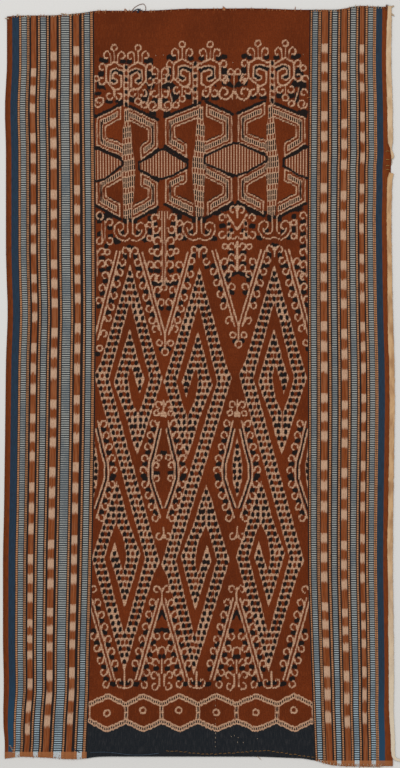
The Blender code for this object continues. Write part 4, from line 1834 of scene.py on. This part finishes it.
# %% [markdown]
# Spun cotton isn't smooth, so a thread's colour and its sheen change along it. All the threads of one yarn
# are sewn in together, as one piece that lies on the cloth.

# %% Sewing with one yarn
def thread_finish(name, colour, shade):
    """Spun cotton: two plies show as slanting bands."""
    finish = Finish(name)
    where = finish.node("ShaderNodeTexCoord", {}, {}).output("Object")
    uneven = finish.noise(where, 900.0, 2.0)
    plies = finish.noise(where, 2600.0, 0.0)
    return finish.done(
        Base_Color=finish.mix(uneven.above(0.35, 0.65), colour, shade),
        Roughness=0.95 - plies * 0.15,
        Specular_IOR_Level=0.1,
        Normal=finish.bump(plies, 0.0002, 0.5),
    )


def sew(name, slot, colour, shade, paths, radius, flatness=1.0):
    """Makes threads of one yarn as one piece of the cloth."""
    points, faces = [], []
    for path in paths:
        more_points, more_faces = thread_tube(path, radius, flatness)
        start = sum(len(part) for part in points)
        points.append(more_points)
        faces += [tuple(corner + start for corner in face) for face in more_faces]
    made = mesh_object(name, np.concatenate(points), faces)
    made.data.materials.append(thread_finish(name + "_yarn", colour, shade))
    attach(made, "root")
    print(name, "has", len(paths), "threads")
    return made


print("finishes before the sewing:", len(bpy.data.materials))

# %% [markdown]
# The threads' paths follow. Tufts and warp ends are drawn by a small rule from a root, a reach and a
# count, with a seeded draw for their unevenness.

# %% Loose threads and stitches
loose = np.random.default_rng(11)


def tuft(x, row, reach_x, reach_row, count, spread=0.7):
    """Short threads that fan out from one root."""
    paths = []
    for i in range(count):
        bend = loose.normal(0, spread, 4)
        paths.append([
            (x + bend[0] * 0.4, row), (x + reach_x * 0.5 + bend[1], row + reach_row * 0.5 + bend[2] * 0.4),
            (x + reach_x + bend[3], row + reach_row * loose.uniform(0.7, 1.1)),
        ])
    return paths


def foot_ends(first, last, pitch, up, lean, shortest, longest):
    """Warp ends that stick out of the foot hem, one at each step."""
    ends = []
    for start in np.arange(first, last, pitch):
        row = float(np.interp(start, *FOOT_RIM))
        ends += tuft(start, row + up, loose.normal(0, lean), loose.uniform(shortest, longest), 1, 0.4)
    return ends


CREAM_YARN = (0.50, 0.40, 0.29, 1), (0.33, 0.23, 0.15, 1)
ORANGE_YARN = (0.42, 0.17, 0.07, 1), (0.27, 0.09, 0.03, 1)
BROWN_YARN = (0.17, 0.06, 0.03, 1), (0.09, 0.03, 0.015, 1)
NAVY_YARN = (0.020, 0.035, 0.060, 1), (0.009, 0.014, 0.022, 1)
GOLD_YARN = (0.26, 0.14, 0.045, 1), (0.12, 0.06, 0.02, 1)
TACK_YARN = (0.33, 0.19, 0.055, 1), (0.22, 0.12, 0.035, 1)
BLUE_YARN = (0.075, 0.110, 0.150, 1), (0.035, 0.050, 0.075, 1)
THREAD = 0.00042
FINE_THREAD = 0.00028
SPECKS = (
    (155.5, 55), (163, 54.5), (232.5, 62), (303, 54), (234, 735), (238, 737), (231, 736), (237, 741.6),
    (257, 738), (243, 742),
)

hem_stitches = []
for start in np.arange(166.0, 318.0, 4.4):
    row = 752.6 + 1.7 * math.sin(start / 15.0) + loose.normal(0, 0.3) + max(start - 280, 0) * 0.09
    hem_stitches.append([(start, row), (start + 1.5, row - 0.5), (start + 3.1, row + loose.normal(0, 0.5))])
warp_ends = foot_ends(318.0, 385.0, 1.9, -3.0, 0.8, 2.5, 4.2)
white_ends = foot_ends(319.0, 385.0, 3.7, -3.2, 0.8, 2.2, 4.0)
left_ends = foot_ends(12.0, 86.0, 3.1, -1.8, 0.6, 1.6, 2.8)
head_orange, head_pale = [], []
for start in np.arange(12.0, 386.0, 2.6):
    row = float(np.interp(start, *HEAD_RIM))
    border = start < 92 or start > 311
    ends = tuft(start, row + 2.2, loose.normal(0, 0.5), -loose.uniform(2.2, 3.6), 1, 0.5)
    if border and int(start / 7.8) % 3 == 0:
        head_pale += ends
    elif border or loose.uniform() < 0.55:
        head_orange += ends
corner_bits = [tuft(9 + i * 0.9, 745.5 + i * 1.6, 2.6, 0.8, 1, 0.4)[0] for i in range(5)]
specks = [
    [(215.4 + loose.normal(0, 0.15), row), (215.4, row + loose.uniform(0.9, 2.0))]
    for row in np.arange(700.0, 750.0, 4.6)
]
specks += [[(x, row), (x + 0.6, row + 1.0)] for x, row in SPECKS]
print("hem stitches:", len(hem_stitches), "warp ends:", len(warp_ends + white_ends + left_ends))

# %% [markdown]
# Each yarn's threads make one piece, sewn to the cloth. Single threads are given one by one, as they lie.

# %% The sewing
sewn = [
    sew("cream_threads", "cream_cotton", *CREAM_YARN, (
        tuft(9, 19, -3.4, -0.8, 4) + tuft(18, 17, -0.6, -3.0, 2) + tuft(70, 15.5, -9.0, -2.2, 3, 0.5)
        + [[(257.4, 756.2), (259.2, 758.2), (261.2, 759.8)], [(391.4, 158.6), (392.4, 161.5), (391.4, 165.4)]]
        + white_ends + head_pale + corner_bits[::2]
    ), THREAD),
    sew("speck_threads", "cream_cotton", *CREAM_YARN, specks, FINE_THREAD),
    sew("orange_threads", "ikat_cotton", *ORANGE_YARN, (
        tuft(99, 14, 0.4, -4.2, 3) + tuft(105, 14, 0.2, -3.6, 2) + tuft(126, 12.5, 0.3, -4.0, 3)
        + tuft(224, 11, 0.2, -5.6, 4) + tuft(295, 11.5, 0.3, -4.4, 3)
        + [[(306.6, 98.2), (308.2, 97.4), (309.8, 97.0)]] + warp_ends + left_ends + head_orange
        + corner_bits[1::2]
    ), THREAD),
    sew("brown_threads", "ikat_cotton", *BROWN_YARN, (
        tuft(386, 10.5, 0.4, -5.6, 7, 1.0)
        + [[(130.6, 13.2), (134.0, 7.6), (139.5, 4.4), (143.6, 3.6), (146.0, 6.6), (145.4, 12.6)]]
    ), THREAD),
    sew("navy_threads", "ikat_cotton", *NAVY_YARN, (
        [[(71.6, 748.2), (75.0, 749.8), (80.4, 752.4)], [(132.0, 12.6), (138.0, 8.0), (144.0, 12.4)]]
        + tuft(138, 13, 0.4, -4.0, 4, 1.6)
    ), THREAD * 1.3),
    sew("hem_stitches", "ikat_cotton", *GOLD_YARN, hem_stitches, THREAD * 0.9),
    sew("hem_thread", "ikat_cotton", *BLUE_YARN, [
        [(x, 753.4 - 1.5 * math.sin((x - 84) / 11.5)) for x in np.arange(90.0, 162.0, 3.0)]
    ], FINE_THREAD),
    sew("tack_stitches", "cream_cotton", *TACK_YARN, [
        [(385.6, row + 0.4), (387.6, row - 0.2), (389.4, row + 0.3)] for row in (151.0, 159.5, 165.5, 169.5)
    ], THREAD),
    sew("tape_stubs", "cream_cotton", *CREAM_YARN, [
        [(388.6, 8.4), (391.0, 7.2), (394.0, 5.8)], [(389.0, 13.4), (391.6, 14.0), (394.0, 15.8)]
    ], THREAD * 3.2, 0.4),
]
print("pieces of sewing:", len(sewn))

# %% [markdown]
# The cloth was photographed lying flat, from straight above and from far away. A long lens does the same.
# The lights are large and soft, a little stronger from the head end, so that the hems and the tape show
# their height, and the floor is plain and pale.

# %% The floor, the camera and the lights
LENS = 100
SENSOR = 36
CAMERA_HEIGHT = CHART_LENGTH * SQUARE / 2 / (SENSOR / 2 / LENS)
FLOOR_HALF = 6.0

floor_mesh = bpy.data.meshes.new("floor")
floor_mesh.from_pydata(
    [(x * FLOOR_HALF, y * FLOOR_HALF, -0.0002) for x, y in ((-1, -1), (1, -1), (1, 1), (-1, 1))],
    [], [(0, 1, 2, 3)],
)
floor = bpy.data.objects.new("floor", floor_mesh)
bpy.context.scene.collection.objects.link(floor)
floor_finish = Finish("pale_floor")
floor.data.materials.append(floor_finish.done(Base_Color=(0.62, 0.61, 0.59, 1), Roughness=0.9))

middle_x, middle_y = to_room(*CHART_MIDDLE)
camera = bpy.data.objects.new("camera", bpy.data.cameras.new("camera"))
camera.data.lens = LENS
camera.data.sensor_width = SENSOR
camera.location = (middle_x, middle_y, CAMERA_HEIGHT + THICKNESS)
bpy.context.scene.collection.objects.link(camera)
bpy.context.scene.camera = camera
bpy.context.scene.view_settings.view_transform = "Standard"


def soft_light(name, place, size, power):
    """A large soft light that looks at the cloth's middle."""
    light = bpy.data.lights.new(name, "AREA")
    light.shape = "DISK"
    light.size = size
    light.energy = power
    made = bpy.data.objects.new(name, light)
    made.location = place
    made.rotation_mode = "QUATERNION"
    made.rotation_quaternion = Vector(-np.array(place)).to_track_quat("-Z", "Y")
    bpy.context.scene.collection.objects.link(made)


soft_light("key", (-0.9, 1.5, 2.6), 1.6, 42)
soft_light("fill", (1.2, -1.0, 2.8), 2.0, 26)
world = bpy.data.worlds.new("studio")
world.use_nodes = True
world.node_tree.nodes["Background"].inputs["Color"].default_value = (1, 1, 1, 1)
world.node_tree.nodes["Background"].inputs["Strength"].default_value = 0.55
bpy.context.scene.world = world
print("camera height:", round(CAMERA_HEIGHT, 2), "m")

# %% [markdown]
# The tapes are narrower than any cloth that is cut to size, so they go with it as pieces sewn to it.

# %% [markdown]
# The dressed cloth must stay inside the solid's box, apart from a few millimetres of softness.
